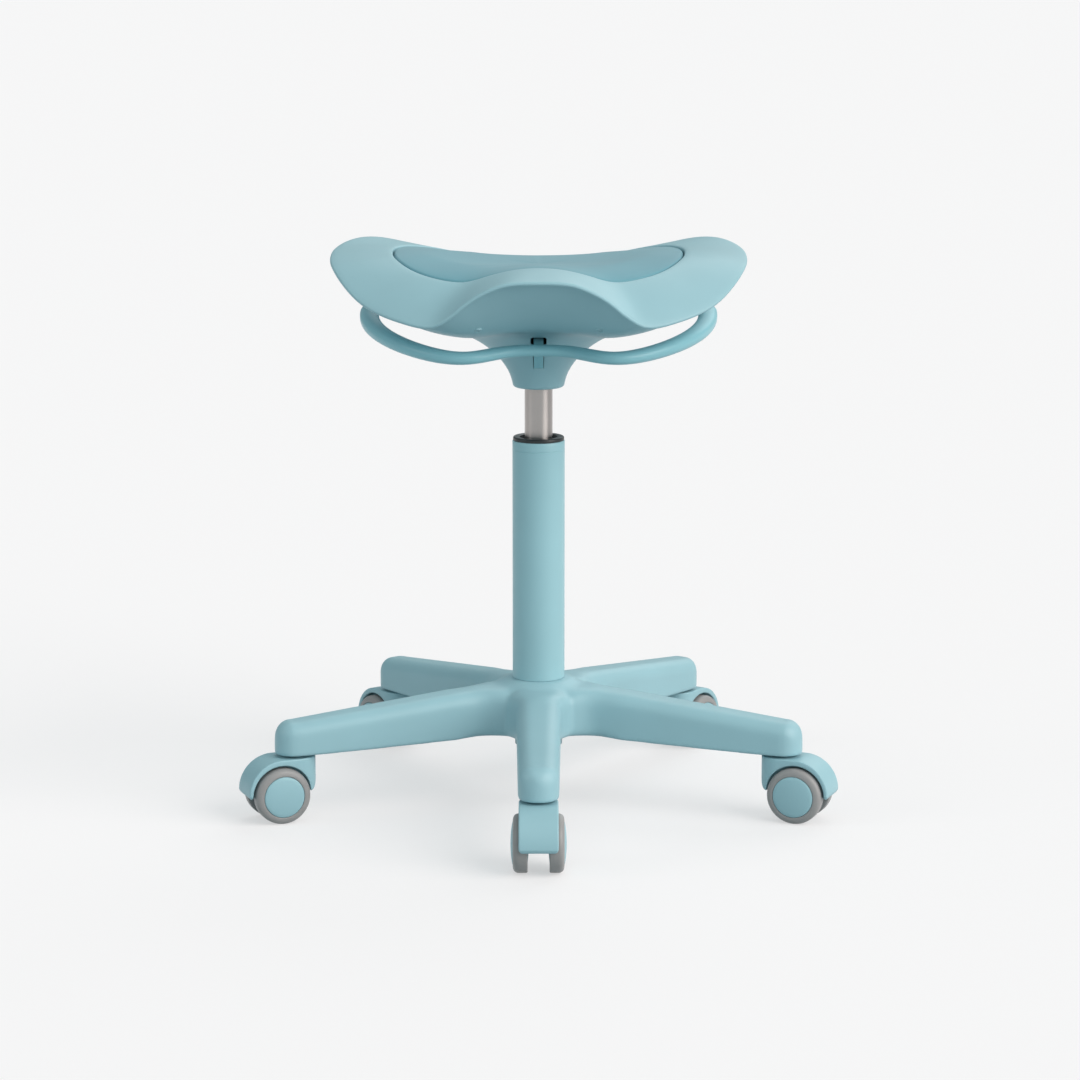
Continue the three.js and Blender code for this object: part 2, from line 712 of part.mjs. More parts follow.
// Pedestal: a plate with four screw holes on a turned hub that holds the cylinder's cone
function seatMount() {
  const corner = plateHalfWidth - plateCornerRadius;
  const outline = new THREE.Shape();
  [[1, 1], [-1, 1], [-1, -1], [1, -1]].forEach(([x, y], i) => {
    outline.absarc(x * corner, y * corner, plateCornerRadius, i * Math.PI / 2, (i + 1) * Math.PI / 2);
  });
  const plate = new THREE.ExtrudeGeometry(outline,
    { depth: plateThickness, bevelEnabled: false, curveSegments: plateArcSteps });
  plate.translate(0, 0, plateTop - plateThickness);
  const flareFoot = cylinderTop + valveHeight;
  const hub = turned([
    [0, pedestalFoot], [pedestalRadius, pedestalFoot], [pedestalRadius, flareFoot],
    [pedestalWaistRadius, THREE.MathUtils.lerp(flareFoot, plateTop, pedestalWaistShare)],
    [pedestalRootRadius, plateTop - plateThickness / 2], [0, plateTop - plateThickness / 2],
  ], turnedSides);
  const ribs = [0, 1].map((i) => new THREE.BoxGeometry(
    2 * (plateHalfWidth - plateCornerRadius), plateThickness, plateRibDepth + plateThickness / 2)
    .translate(0, 0, plateTop - plateThickness / 2 - (plateRibDepth + plateThickness / 2) / 2)
    .rotateZ(Math.PI / 4 + i * Math.PI / 2));
  const lugInner = bladeThickness / 2 + turningGap;
  const lugs = sides.flatMap(([, across]) => {
    const x = across * (lugInner + lugThickness / 2);
    const lug = new THREE.CylinderGeometry(lugRadius, lugRadius, lugThickness, smallSides)
      .rotateZ(Math.PI / 2).translate(x, -pivotReach, pivotHeight);
    return [solid(lug), solid(box([x, -pivotReach / 2, pivotHeight],
      [lugThickness, pivotReach, 2 * lugRadius]))];
  });
  const coneFoot = cylinderTop - cylinderTaperLength;
  const bore = turned([
    [0, pedestalFoot - overrun], [cylinderRadius + seatGap, pedestalFoot - overrun],
    [cylinderRadius + seatGap, coneFoot], [cylinderTopRadius + seatGap, cylinderTop],
    [cylinderRadius + seatGap, cylinderTop + seatGap],
    [cylinderRadius + seatGap, plateTop + overrun], [0, plateTop + overrun],
  ], turnedSides);
  const leverSlot = box([0, -pedestalRadius, pivotHeight + leverHeadroom / 2 - leverDrop],
    [2 * lugInner, 2 * pedestalRadius, 2 * leverDrop + leverHeadroom]);
  const screwHoles = mountScrews.map(({ x, y }) => uprightCylinder(
    mountScrewRadius + seatGap, plateTop - 2 * plateThickness, plateTop + overrun, x, y, bossSides));
  const body = joined([solid(plate), solid(hub), ...ribs.map(solid), ...lugs]);
  return cut(body, [bore, leverSlot, leverPinHole(), ...screwHoles].map(solid));
}

// Ring-shaped lever
function ringPath(turn) {
  const angle = 2 * Math.PI * turn;
  const across = Math.sin(angle);
  const along = -Math.cos(angle);
  const reach = along < 0 ? ringFrontReach : ringRearReach;
  const power = 2 / ringPlanPower;
  const x = ringHalfWidth * signedPower(across, power);
  const dent = along < 0 ? ringDent * Math.exp(-(Math.abs(x / ringDentHalfWidth) ** ringDentPower)) : 0;
  const y = ringWidestReach + reach * signedPower(along, power) + dent;
  const z = ringFrontHeight + (y - ringFrontY) * Math.tan(THREE.MathUtils.degToRad(ringTiltDegrees));
  return new THREE.Vector3(x, y, z);
}

function handleRing() {
  const step = 1 / ringSteps / 4;
  const rings = [];
  for (let i = 0; i < ringSteps; i += 1) {
    const turn = i / ringSteps;
    const centre = ringPath(turn);
    const thickness = THREE.MathUtils.lerp(ringThickness, ringSideThickness,
      smooth(Math.abs(centre.x) / ringHalfWidth));
    const sideShare = (Math.abs(centre.x) - ringHalfWidth / 2) / (ringHalfWidth / 2);
    centre.z += ringSideLift * smooth(sideShare) - (thickness - ringThickness) / 2;
    const forwards = ringPath(turn + step).sub(ringPath(turn - step)).normalize();
    const outwards = new THREE.Vector3(forwards.y, -forwards.x, 0).normalize();
    const upwards = outwards.clone().cross(forwards);
    rings.push(Array.from({ length: ringSides }, (_, k) => {
      const angle = 2 * Math.PI * (k + 0.5) / ringSides;
      const power = 2 / ringSectionPower;
      return centre.clone()
        .addScaledVector(outwards, ringWidth / 2 * signedPower(Math.cos(angle), power))
        .addScaledVector(upwards, thickness / 2 * signedPower(Math.sin(angle), power));
    }));
  }
  return solid(ringSolid(rings));
}

// The blade from the ring's front, in through the neck's slot to the nose over the valve
function leverBlade() {
  const bladeFoot = slotFoot + bladeDrop;
  const noseFoot = valveTop + seatGap;
  const noseTop = noseFoot + leverDrop + leverDrop / 2;
  const faceY = -neckRadius - neckEdgeRadius * 1.5;
  const outline = [
    [ringFrontY, bladeTop],
    [ringFrontY, ringFrontHeight - ringThickness / 3],
    [ringFrontY + ringWidth, ringFrontHeight - ringThickness / 2],
    [faceY - neckEdgeRadius * 1.7, bladeFoot + 2 * leverDrop],
    [faceY, bladeFoot],
    [-neckRadius - neckEdgeRadius / 2, bladeFoot],
    [-pedestalRadius - leverDrop, valveTop - 2 * leverDrop],
    [-pedestalRadius, noseFoot - leverDrop / 2],
    [-valveRadius * 2, noseFoot],
    [valveRadius, noseFoot],
    [valveRadius + seatGap, noseFoot + leverDrop],
    [valveRadius / 2, noseTop],
    [-pivotReach, pivotHeight + lugRadius],
    [-pivotReach - lugRadius, pivotHeight + lugRadius / 2],
    [-bladeRunIn, bladeTop],
  ];
  return solid(sideProfile(outline, bladeThickness)).subtract(solid(leverPinHole()));
}

const leverPinLength = bladeThickness + 2 * (turningGap + lugThickness + seatGap);

// Base: section of a leg at a distance from the column, inset by a wall for the hollow inside
function legHalfWidth(reach) {
  const halfTurn = Math.PI / legCount;
  const centreReach = (legEndRadius + legWebRadius) / Math.sin(halfTurn);
  const tangentReach = centreReach * Math.cos(halfTurn);
  const creaseReach = (centreReach - legWebRadius) * Math.cos(halfTurn);
  if (reach > pivotCircleRadius) {
    return Math.sqrt(Math.max(0, legEndRadius ** 2 - (reach - pivotCircleRadius) ** 2));
  }
  if (reach >= tangentReach) return legEndRadius;
  if (reach <= creaseReach) return reach * Math.tan(halfTurn) + seatGap;
  return centreReach * Math.sin(halfTurn) - Math.sqrt(legWebRadius ** 2 - (reach - tangentReach) ** 2);
}

const rootShare = (reach) => THREE.MathUtils.clamp(
  (pivotCircleRadius - reach) / (pivotCircleRadius - legRootRadius), 0, 1);
const legUnder = (reach) => legUnderHeight + legRise * Math.min(1, rootShare(reach + legEndRadius));
const legCrown = (reach) => legUnderHeight + THREE.MathUtils.lerp(
  legEndDepth, legRootDepth + legRise, rootShare(reach));

function legSection(reach, inset) {
  const outerHalf = inset > 0 ? Math.min(legHalfWidth(reach), legEndRadius) : legHalfWidth(reach);
  const half = Math.max(outerHalf - inset, seatGap);
  const nose = Math.max(0, legCrownRadius - (legEndReach - reach));
  const drop = legCrownRadius - Math.sqrt(legCrownRadius ** 2 - Math.min(nose, legCrownRadius) ** 2);
  const crown = legCrown(reach) - drop - inset;
  const foot = legUnder(reach) - (inset > 0 ? overrun : 0);
  const across = Math.min(legCrownRadius - inset / 2, half * legCornerShare);
  const down = Math.min(legCrownRadius - inset / 2, (crown - foot) * legCornerDepthShare);
  const corner = legCornerAngles.map((degrees) => {
    const angle = THREE.MathUtils.degToRad(degrees);
    return [half - across * (1 - Math.cos(angle)), crown - down * (1 - Math.sin(angle))];
  });
  const right = [[half, foot], ...corner];
  const left = right.map(([y, z]) => [-y, z]).reverse();
  return [...right, ...left].map(([y, z]) => new THREE.Vector3(reach, y, z));
}

function legLoft(reaches, inset) {
  const rings = reaches.map((reach) => legSection(reach, inset));
  const centreOf = (ring) => ring.reduce((sum, p) => sum.add(p), new THREE.Vector3())
    .divideScalar(ring.length);
  return solid(ringSolid(rings, centreOf(rings[0]), centreOf(rings[rings.length - 1])));
}

function starBase() {
  const halfTurn = Math.PI / legCount;
  const tangentReach = (legEndRadius + legWebRadius) / Math.tan(halfTurn);
  const hubRadius = columnShoulderRadius + seatGap + hubWall;
  const skirtRadius = tangentReach * hubSkirtShare;
  const rootReaches = legRootShares.map((share) => share * tangentReach);
  const endReaches = legEndShares.map((share) => pivotCircleRadius + share * legEndRadius);
  const outer = legLoft([...rootReaches, pivotCircleRadius, ...endReaches], 0);
  const hollowEnd = pivotCircleRadius - legEndRadius;
  const hollowStart = hubRadius + legWall;
  const hollow = legLoft([hollowStart, ...hollowShares.map((share) => share * tangentReach), hollowEnd],
    legWall);
  const ribTop = legUnderHeight + legRootDepth + legRise;
  const ribFoot = hubFoot + legRibInset;
  const hollowHalfWidth = legEndRadius - legWall;
  const ribs = legRibShares.map((share) => box(
    [(hollowStart + hollowEnd) / 2, share * hollowHalfWidth, (ribFoot + ribTop) / 2],
    [hollowEnd - hollowStart + 2 * overrun, legRibThickness, ribTop - ribFoot]));
  const room = cut(hollow, ribs.map(solid));
  const socket = solid(uprightCylinder(stemRadius + seatGap, legUnderHeight - overrun,
    legUnderHeight + socketDepth + seatGap, pivotCircleRadius, 0, smallSides));
  const leg = cut(outer, [room, socket]);
  const legs = legAngles.map((angle) => leg.rotate([0, 0, THREE.MathUtils.radToDeg(angle)]));
  const hub = solid(turned([
    [0, hubFoot], [skirtRadius * hubFlatShare, hubFoot], [skirtRadius, hubFoot + hubWall],
    ...hubRoundShares.map(([reach, drop]) => [skirtRadius * reach, hubHeight - hubDrop * drop]),
    [hubRadius, hubHeight], [0, hubHeight],
  ], hubSides));
  const bore = solid(turned([
    [0, hubFoot - overrun], [columnFootRadius + seatGap, hubFoot - overrun],
    [columnShoulderRadius + seatGap, hubHeight], [columnShoulderRadius + seatGap, hubHeight + overrun],
    [0, hubHeight + overrun],
  ], turnedSides));
  return joined([hub, ...legs]).subtract(bore);
}

// Column
function columnTube() {
  const step = columnRadius - columnShoulderRadius;
  const foot = columnFootRadius - columnWall;
  return turned([
    [columnFootRadius, columnFoot], [columnShoulderRadius, columnSeatHeight],
    [columnRadius - step / 2, columnSeatHeight], [columnRadius, columnSeatHeight + step / 2],
    [columnRadius, columnTop], [columnRadius - columnWall, columnTop],
    [columnRadius - columnWall, columnSeatHeight + columnWall], [foot + columnWall / 2, columnSeatHeight],
    [foot, floorTop], [rodRadius + seatGap, floorTop], [rodRadius + seatGap, floorTop - floorThickness],
    [foot, floorTop - floorThickness], [foot, columnFoot],
  ], turnedSides);
}

function guideBush() {
  const flangeFoot = columnTop + seatGap;
  const sleeve = columnRadius - columnWall - seatGap;
  return turned([
    [cylinderRadius + seatGap, flangeFoot - bushLength], [sleeve, flangeFoot - bushLength],
    [sleeve, flangeFoot], [bushFlangeRadius, flangeFoot],
    [bushFlangeRadius, flangeFoot + bushFlangeHeight - bushFlangeEdge],
    [bushFlangeRadius - bushFlangeEdge, flangeFoot + bushFlangeHeight],
    [cylinderRadius + seatGap, flangeFoot + bushFlangeHeight],
  ], turnedSides);
}

const washer = (inner, outer, foot, thickness) => turned([
  [inner, foot], [outer, foot], [outer, foot + thickness], [inner, foot + thickness]], wheelSegments);

function pistonRod() {
  const rodFoot = floorTop - floorThickness - rodEnd;
  return turned([
    [0, rodFoot], [rodRadius, rodFoot], [rodRadius, rodCollarFoot],
    [rodCollarRadius, rodCollarFoot], [rodCollarRadius, rodCollarFoot + rodCollarThickness],
    [rodRadius, rodCollarFoot + rodCollarThickness], [rodRadius, pistonFoot],
    [pistonRadius, pistonFoot], [pistonRadius, pistonFoot + pistonLength], [0, pistonFoot + pistonLength],
  ], wheelSegments);
}

function gasCylinder() {
  const coneFoot = cylinderTop - cylinderTaperLength;
  const valveRoom = cylinderTop - valveLength + valveHeight - valveStroke - turningGap;
  const gasRoom = valveRoom - cylinderEndWall;
  return turned([
    [cylinderBore, cylinderFoot], [cylinderRadius, cylinderFoot], [cylinderRadius, coneFoot],
    [cylinderTopRadius, cylinderTop], [valveRadius + seatGap, cylinderTop],
    [valveRadius + seatGap, valveRoom], [valvePassageRadius, valveRoom], [valvePassageRadius, gasRoom],
    [cylinderBore, gasRoom],
  ], turnedSides);
}

// Caster, with its pivot on the z axis and its wheels trailing towards +x
function casterHood() {
  const reach = casterTrail + hoodRadius;
  const plan = new THREE.Shape();
  plan.moveTo(reach, -hoodHalfWidth);
  plan.lineTo(reach, hoodHalfWidth);
  plan.lineTo(0, hoodHalfWidth);
  plan.absellipse(0, 0, hoodBackReach, hoodHalfWidth, Math.PI / 2, 1.5 * Math.PI);
  const block = new THREE.ExtrudeGeometry(plan,
    { depth: casterHeight, bevelEnabled: false, curveSegments: hoodArcSteps * 2 });
  const axleX = casterTrail;
  const crownX = reach - hoodCrownRadius;
  const crownZ = casterHeight - hoodCrownRadius;
  const side = new THREE.Shape();
  side.moveTo(-hoodBackReach, casterHeight);
  side.lineTo(-hoodBackReach, hoodBackFoot + hoodBackRadius);
  side.quadraticCurveTo(-hoodBackReach, hoodBackFoot, axleX - wellRadius, hoodBackFoot);
  for (const [reachShare, dropShare] of axleBossShares) {
    side.lineTo(axleX + axleBossRadius * reachShare, wheelRadius - axleBossRadius * dropShare);
  }
  side.lineTo(reach - hoodTipRadius, hoodTipHeight);
  side.quadraticCurveTo(reach, hoodTipHeight, reach, Math.max(crownZ, hoodTipHeight + seatGap));
  side.absarc(crownX, crownZ, hoodCrownRadius, 0, Math.PI / 2);
  const slab = new THREE.ExtrudeGeometry(side,
    { depth: 2 * hoodHalfWidth + 2 * overrun, bevelEnabled: false, curveSegments: hoodArcSteps });
  slab.translate(0, 0, -hoodHalfWidth - overrun);
  slab.rotateX(Math.PI / 2);
  const wellLength = hoodHalfWidth + overrun - hoodWebHalf;
  const wells = sides.map(([, across]) => new THREE.CylinderGeometry(
    wellRadius, wellRadius, wellLength, wellSides).translate(
    axleX, across * (hoodWebHalf + wellLength / 2), wheelRadius));
  const axleHole = new THREE.CylinderGeometry(axleRadius + seatGap, axleRadius + seatGap,
    2 * hoodHalfWidth, axleSides).translate(axleX, 0, wheelRadius);
  const stemHole = uprightCylinder(stemRadius + seatGap, casterHeight - stemInHood - seatGap,
    casterHeight + overrun, 0, 0, smallSides);
  return cut(solid(block).intersect(solid(slab)), [...wells, axleHole, stemHole].map(solid));
}

function casterStem() {
  const collarFoot = casterHeight + seatGap;
  const collarTop = legUnderHeight - seatGap;
  return turned([
    [0, casterHeight - stemInHood], [stemRadius, casterHeight - stemInHood], [stemRadius, collarFoot],
    [stemCollarRadius, collarFoot], [stemCollarRadius, collarTop], [stemRadius, collarTop],
    [stemRadius, legUnderHeight + socketDepth], [0, legUnderHeight + socketDepth],
  ], smallSides);
}

// A wheel's pieces are turned about +z, then laid along the axle; across is -1 or 1
function alongAxle(geometry, across) {
  return geometry.rotateZ(Math.PI / wheelSegments)
    .rotateX(-across * Math.PI / 2).translate(casterTrail, 0, wheelRadius);
}

const wheelInner = hoodWebHalf + turningGap;
const flatToFlat = 1 / Math.cos(Math.PI / wheelSegments);

function wheelCore(across) {
  const blind = axleReach + seatGap;
  return alongAxle(turned([
    [0, blind], [axleRadius + seatGap, blind], [axleRadius + seatGap, wheelInner],
    [axleBossRadius, wheelInner], [coreRadius, tyreInner], [coreRadius, tyreOuter],
    [coreRadius * capShares[0], tyreOuter + capDome * capShares[1]], [0, tyreOuter + capDome],
  ], wheelSegments), across);
}

function tyre(across) {
  const bead = coreRadius + seatGap;
  const tread = wheelRadius * flatToFlat;
  return alongAxle(turned([
    [bead, tyreInner], [tread, tyreInner], [tread, tyreOuter - 2 * treadRadius],
    [tread - treadRadius / 2, tyreOuter - treadRadius], [tread - 2 * treadRadius, tyreOuter],
    [bead, tyreOuter],
  ], wheelSegments), across);
}

// Assembly
const seatGroup = new THREE.Group();
root.add(seatGroup);
place(seatGroup, geometryOf(seatShellWithBosses()), blue('seat_shell'));
place(seatGroup, geometryOf(seatPad()), { name: 'seat_pad', color: padColour, roughness: 0.8, metalness: 0 });
place(seatGroup, geometryOf(underShell()), blue('under_shell'));
place(seatGroup, geometryOf(seatMount()), steel('seat_mount'));
for (const { label, x, y, headTop, tip } of mountScrews) {
  place(seatGroup, screw(mountScrewRadius, headTop, tip).translate(x, y, 0),
    steel(`mount_screw_${label}`));
}
for (const { label, x, y, headTop, tip } of coverScrews) {
  place(seatGroup, screw(coverScrewRadius, headTop, tip).translate(x, y, 0),
    steel(`cover_screw_${label}`));
}
place(seatGroup, geometryOf(handleRing().add(leverBlade())), blue('handle_ring'));
place(seatGroup, new THREE.CylinderGeometry(pinRadius, pinRadius, leverPinLength, smallSides)
  .rotateZ(Math.PI / 2).translate(0, -pivotReach, pivotHeight), steel('lever_pin'));
place(seatGroup, gasCylinder(), steel('gas_cylinder'));
place(seatGroup, uprightCylinder(valveRadius, valveTop - valveLength, valveTop, 0, 0, smallSides),
  steel('release_button'));
place(seatGroup, washer(rodRadius + seatGap, cylinderBore - seatGap, cylinderFoot, rodBushLength),
  darkPlastic('rod_bush'));

const columnGroup = new THREE.Group();
root.add(columnGroup);
place(columnGroup, pistonRod(), steel('piston_rod'));
place(columnGroup, washer(rodRadius + seatGap, rodClipRadius,
  floorTop - floorThickness - seatGap - rodClipThickness, rodClipThickness), steel('rod_clip'));
place(columnGroup, washer(rodRadius + seatGap, bearingRadius, bearingFoot, bearingThickness),
  steel('thrust_bearing'));
place(columnGroup, washer(rodRadius + seatGap, damperRadius, damperFoot, damperThickness),
  darkPlastic('rubber_damper'));
place(columnGroup, columnTube(), blue('column_tube'));
place(columnGroup, guideBush(), darkPlastic('guide_bush'));
place(columnGroup, geometryOf(starBase()), blue('star_base'));

legAngles.forEach((angle, i) => {
  const caster = new THREE.Group();
  caster.rotation.z = angle + THREE.MathUtils.degToRad(casterTurnDegrees[i]);
  caster.position.set(pivotCircleRadius * Math.cos(angle), pivotCircleRadius * Math.sin(angle), 0);
  root.add(caster);
  const label = `${i + 1}`;
  place(caster, casterStem(), steel(`caster_stem_${label}`));
  place(caster, geometryOf(casterHood()), blue(`caster_hood_${label}`));
  place(caster, new THREE.CylinderGeometry(axleRadius, axleRadius, 2 * axleReach, axleSides)
    .translate(casterTrail, 0, wheelRadius), steel(`caster_axle_${label}`));
  for (const [side, across] of sides) {
    place(caster, wheelCore(across), blue(`wheel_${label}_${side}`));
    place(caster, tyre(across), greyRubber(`tyre_${label}_${side}`));
  }
});

export default root;
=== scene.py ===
# %% [markdown]
# A saddle stool on casters. The measured model of the stool is loaded first and stays as it is:
# it says where every piece sits and which body it turns or slides with. Every visible piece is
# then made again with smooth surfaces over the measured one and takes its place.

# %% Load the measured stool
import math

import bpy
from mathutils import Matrix, Vector


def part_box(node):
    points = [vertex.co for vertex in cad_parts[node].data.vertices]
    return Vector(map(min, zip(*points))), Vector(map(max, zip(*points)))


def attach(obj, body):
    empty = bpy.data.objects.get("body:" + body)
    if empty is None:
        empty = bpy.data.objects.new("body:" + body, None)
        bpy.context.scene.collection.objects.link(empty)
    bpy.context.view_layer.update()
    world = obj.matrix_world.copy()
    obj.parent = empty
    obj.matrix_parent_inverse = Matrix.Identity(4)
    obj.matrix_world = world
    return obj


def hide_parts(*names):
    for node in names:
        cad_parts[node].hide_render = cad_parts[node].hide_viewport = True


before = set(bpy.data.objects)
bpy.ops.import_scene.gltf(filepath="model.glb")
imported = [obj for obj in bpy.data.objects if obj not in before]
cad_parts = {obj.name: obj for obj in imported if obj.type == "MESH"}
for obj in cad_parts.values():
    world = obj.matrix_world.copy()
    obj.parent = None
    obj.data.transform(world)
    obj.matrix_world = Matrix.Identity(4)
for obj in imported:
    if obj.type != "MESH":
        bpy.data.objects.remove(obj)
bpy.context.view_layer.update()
MM = 0.001

# %% [markdown]
# The camera stands 3.4 m in front of the stool at the height of a seated eye and looks down by
# about eleven degrees. A long lens keeps the seat and the casters in the photograph's proportions.

# %% Camera
IMAGE_WIDTH, FOCAL_LENGTH, IMAGE_SHIFT = 1080, 3536, 1.4  # pixels
SENSOR_WIDTH = 36  # millimetres
CAMERA_BACK, CAMERA_UP, LOOKING_DOWN = 3.433, 0.918, 10.82  # metres, metres, degrees

camera_data = bpy.data.cameras.new("camera")
camera_data.sensor_width = SENSOR_WIDTH
camera_data.lens = SENSOR_WIDTH * FOCAL_LENGTH / IMAGE_WIDTH
camera_data.shift_x = IMAGE_SHIFT / IMAGE_WIDTH
camera = bpy.data.objects.new("camera", camera_data)
camera.location = (0, -CAMERA_BACK, CAMERA_UP)
camera.rotation_euler = (math.radians(90 - LOOKING_DOWN), 0, 0)
bpy.context.scene.collection.objects.link(camera)
bpy.context.scene.camera = camera
print("lens", round(camera_data.lens, 1))

# %% [markdown]
# The studio is one pale floor that runs out of sight, an even sky and four suns: a broad soft one
# from the front right, a wide fill from straight ahead, one from behind that lights the rims, and a
# faint one from the left, which gives turned steel its second streak. The camera sees the floor
# nearly white with only a trace of shadow, as under a large softbox, while the light that the floor
# throws back up is a cool mid grey, so that the undersides stay darker than the tops.

# %% Floor, sky and suns
FLOOR_SIZE, FLOOR_BEHIND = 90, 20
FLOOR_SEEN, FLOOR_SHADED, SHADOW_SHARE = 1.0, (1.0, 0.94, 0.94), 0.48
FLOOR_BOUNCE = (0.36, 0.45, 0.48)
SKY_STRENGTH, SKY_COLOUR = 0.36, (0.80, 0.96, 1.0)
SUNS = [  # name, energy, spread, angle from straight up, bearing, colour
    ("soft_sun", 2.25, 52, 61, 60, (1.0, 0.955, 0.92)),
    ("front_fill", 0.54, 120, 72, 0, (0.82, 0.97, 1.0)),
    ("rear_sun", 0.55, 46, 52, 158, (0.95, 1.0, 1.0)),
    ("left_sun", 0.32, 24, 66, -76, (1.0, 1.0, 1.0)),
]


def principled(name):
    material = bpy.data.materials.new(name)
    material.use_nodes = True
    return material, material.node_tree.nodes["Principled BSDF"]


bpy.ops.object.select_all(action="DESELECT")
bpy.ops.mesh.primitive_plane_add(size=FLOOR_SIZE, location=(0, FLOOR_BEHIND, 0))
floor = bpy.context.object
floor.name = "studio_floor"
floor_material = bpy.data.materials.new("studio_floor")
floor_material.use_nodes = True
floor_tree = floor_material.node_tree
floor_tree.nodes.clear()
bounce = floor_tree.nodes.new("ShaderNodeBsdfDiffuse")
bounce.inputs["Color"].default_value = (*FLOOR_BOUNCE, 1)
shaded = floor_tree.nodes.new("ShaderNodeBsdfDiffuse")
shaded.inputs["Color"].default_value = (*FLOOR_SHADED, 1)
plain = floor_tree.nodes.new("ShaderNodeEmission")
plain.inputs["Color"].default_value = (1, 1, 1, 1)
plain.inputs["Strength"].default_value = FLOOR_SEEN
seen = floor_tree.nodes.new("ShaderNodeMixShader")
seen.inputs["Fac"].default_value = SHADOW_SHARE
floor_tree.links.new(plain.outputs[0], seen.inputs[1])
floor_tree.links.new(shaded.outputs[0], seen.inputs[2])
path = floor_tree.nodes.new("ShaderNodeLightPath")
looking = path.outputs["Is Camera Ray"]
for kind in ("Is Glossy Ray", "Is Transmission Ray"):
    either_ray = floor_tree.nodes.new("ShaderNodeMath")
    either_ray.operation = "MAXIMUM"
    floor_tree.links.new(looking, either_ray.inputs[0])
    floor_tree.links.new(path.outputs[kind], either_ray.inputs[1])
    looking = either_ray.outputs[0]
either = floor_tree.nodes.new("ShaderNodeMixShader")
floor_tree.links.new(looking, either.inputs["Fac"])
floor_tree.links.new(bounce.outputs[0], either.inputs[1])
floor_tree.links.new(seen.outputs[0], either.inputs[2])
surface = floor_tree.nodes.new("ShaderNodeOutputMaterial")
floor_tree.links.new(either.outputs[0], surface.inputs["Surface"])
floor.data.materials.append(floor_material)

world = bpy.data.worlds.new("studio_sky")
bpy.context.scene.world = world
world.use_nodes = True
sky = world.node_tree.nodes["Background"]
sky.inputs["Color"].default_value = (*SKY_COLOUR, 1)
sky.inputs["Strength"].default_value = SKY_STRENGTH

for name, energy, spread, tilt, bearing, tint in SUNS:
    sun_data = bpy.data.lights.new(name, "SUN")
    sun_data.energy = energy
    sun_data.angle = math.radians(spread)
    sun_data.color = tint
    sun = bpy.data.objects.new(name, sun_data)
    sun.rotation_euler = (math.radians(tilt), 0, math.radians(bearing))
    bpy.context.scene.collection.objects.link(sun)
bpy.context.scene.view_settings.view_transform = "Standard"
print("suns", [sun[0] for sun in SUNS], "sky", SKY_STRENGTH)

# %% [markdown]
# Finishes. Moulded plastic is never one flat colour: the pigment drifts a little over a hand's
# width, the skin has a fine grain from the tool, and handled areas are a touch glossier. Each
# finish here is the same small recipe with its own grain size: a slow noise for the colour, a
# faster one for the roughness and a fine one for the bump.

# %% A finish with drifting colour and fine grain
DRIFT_SCALE, CLOUD_SCALE, ROUGHNESS_SPREAD, GRAIN_HEIGHT = 9, 45, 0.07, 0.2 * MM
RAMP_ENDS = (0.3, 0.7)


def drifting(tree, source, dark, light):
    """A colour that goes with the noise from dark to light."""
    ramp = tree.nodes.new("ShaderNodeValToRGB")
    for element, position, colour in zip(ramp.color_ramp.elements, RAMP_ENDS, (dark, light)):
        element.position = position
        element.color = (*colour, 1)
    tree.links.new(source, ramp.inputs["Fac"])
    return ramp.outputs["Color"]


def grained(name, colour, drift, roughness, grain, bump, metal=0.0, stretch=(1, 1, 1)):
    material, shader = principled(name)
    tree = material.node_tree
    place = tree.nodes.new("ShaderNodeTexCoord")
    lay = tree.nodes.new("ShaderNodeMapping")
    lay.inputs["Scale"].default_value = stretch
    tree.links.new(place.outputs["Object"], lay.inputs["Vector"])

    def noise(scale, detail, source):
        node = tree.nodes.new("ShaderNodeTexNoise")
        node.inputs["Scale"].default_value = scale
        node.inputs["Detail"].default_value = detail
        tree.links.new(source, node.inputs["Vector"])
        return node

    slow = noise(DRIFT_SCALE, 3, place.outputs["Object"])
    dark = [c * (1 - drift) for c in colour]
    light = [min(1, c * (1 + drift)) for c in colour]
    tree.links.new(drifting(tree, slow.outputs["Fac"], dark, light), shader.inputs["Base Color"])

    cloudy = noise(CLOUD_SCALE, 4, place.outputs["Object"])
    spread = tree.nodes.new("ShaderNodeMapRange")
    spread.inputs["To Min"].default_value = roughness - ROUGHNESS_SPREAD
    spread.inputs["To Max"].default_value = roughness + ROUGHNESS_SPREAD
    tree.links.new(cloudy.outputs["Fac"], spread.inputs["Value"])
    tree.links.new(spread.outputs["Result"], shader.inputs["Roughness"])

    fine = noise(grain, 2, lay.outputs["Vector"])
    relief = tree.nodes.new("ShaderNodeBump")
    relief.inputs["Strength"].default_value = bump
    relief.inputs["Distance"].default_value = GRAIN_HEIGHT
    tree.links.new(fine.outputs["Fac"], relief.inputs["Height"])
    tree.links.new(relief.outputs["Normal"], shader.inputs["Normal"])
    shader.inputs["Metallic"].default_value = metal
    return material


shell_blue = (0.350, 0.560, 0.615)
moulded = grained("moulded_plastic", shell_blue, 0.035, 0.44, 1400, 0.10)
handled = grained("handled_plastic", (0.285, 0.570, 0.635), 0.03, 0.36, 1100, 0.06)
coated = grained("coated_tube", (0.352, 0.580, 0.632), 0.025, 0.40, 900, 0.08)
tread = grained("tyre_rubber", (0.340, 0.318, 0.312), 0.06, 0.40, 1600, 0.12)
black_plastic = grained("black_plastic", (0.018, 0.020, 0.022), 0.10, 0.34, 1500, 0.08)
black_rubber = grained("black_rubber", (0.022, 0.022, 0.022), 0.10, 0.70, 1200, 0.20)
plated = grained("plated_steel", (0.52, 0.51, 0.50), 0.05, 0.34, 500, 0.10, 1.0)
print("finishes", len(bpy.data.materials))

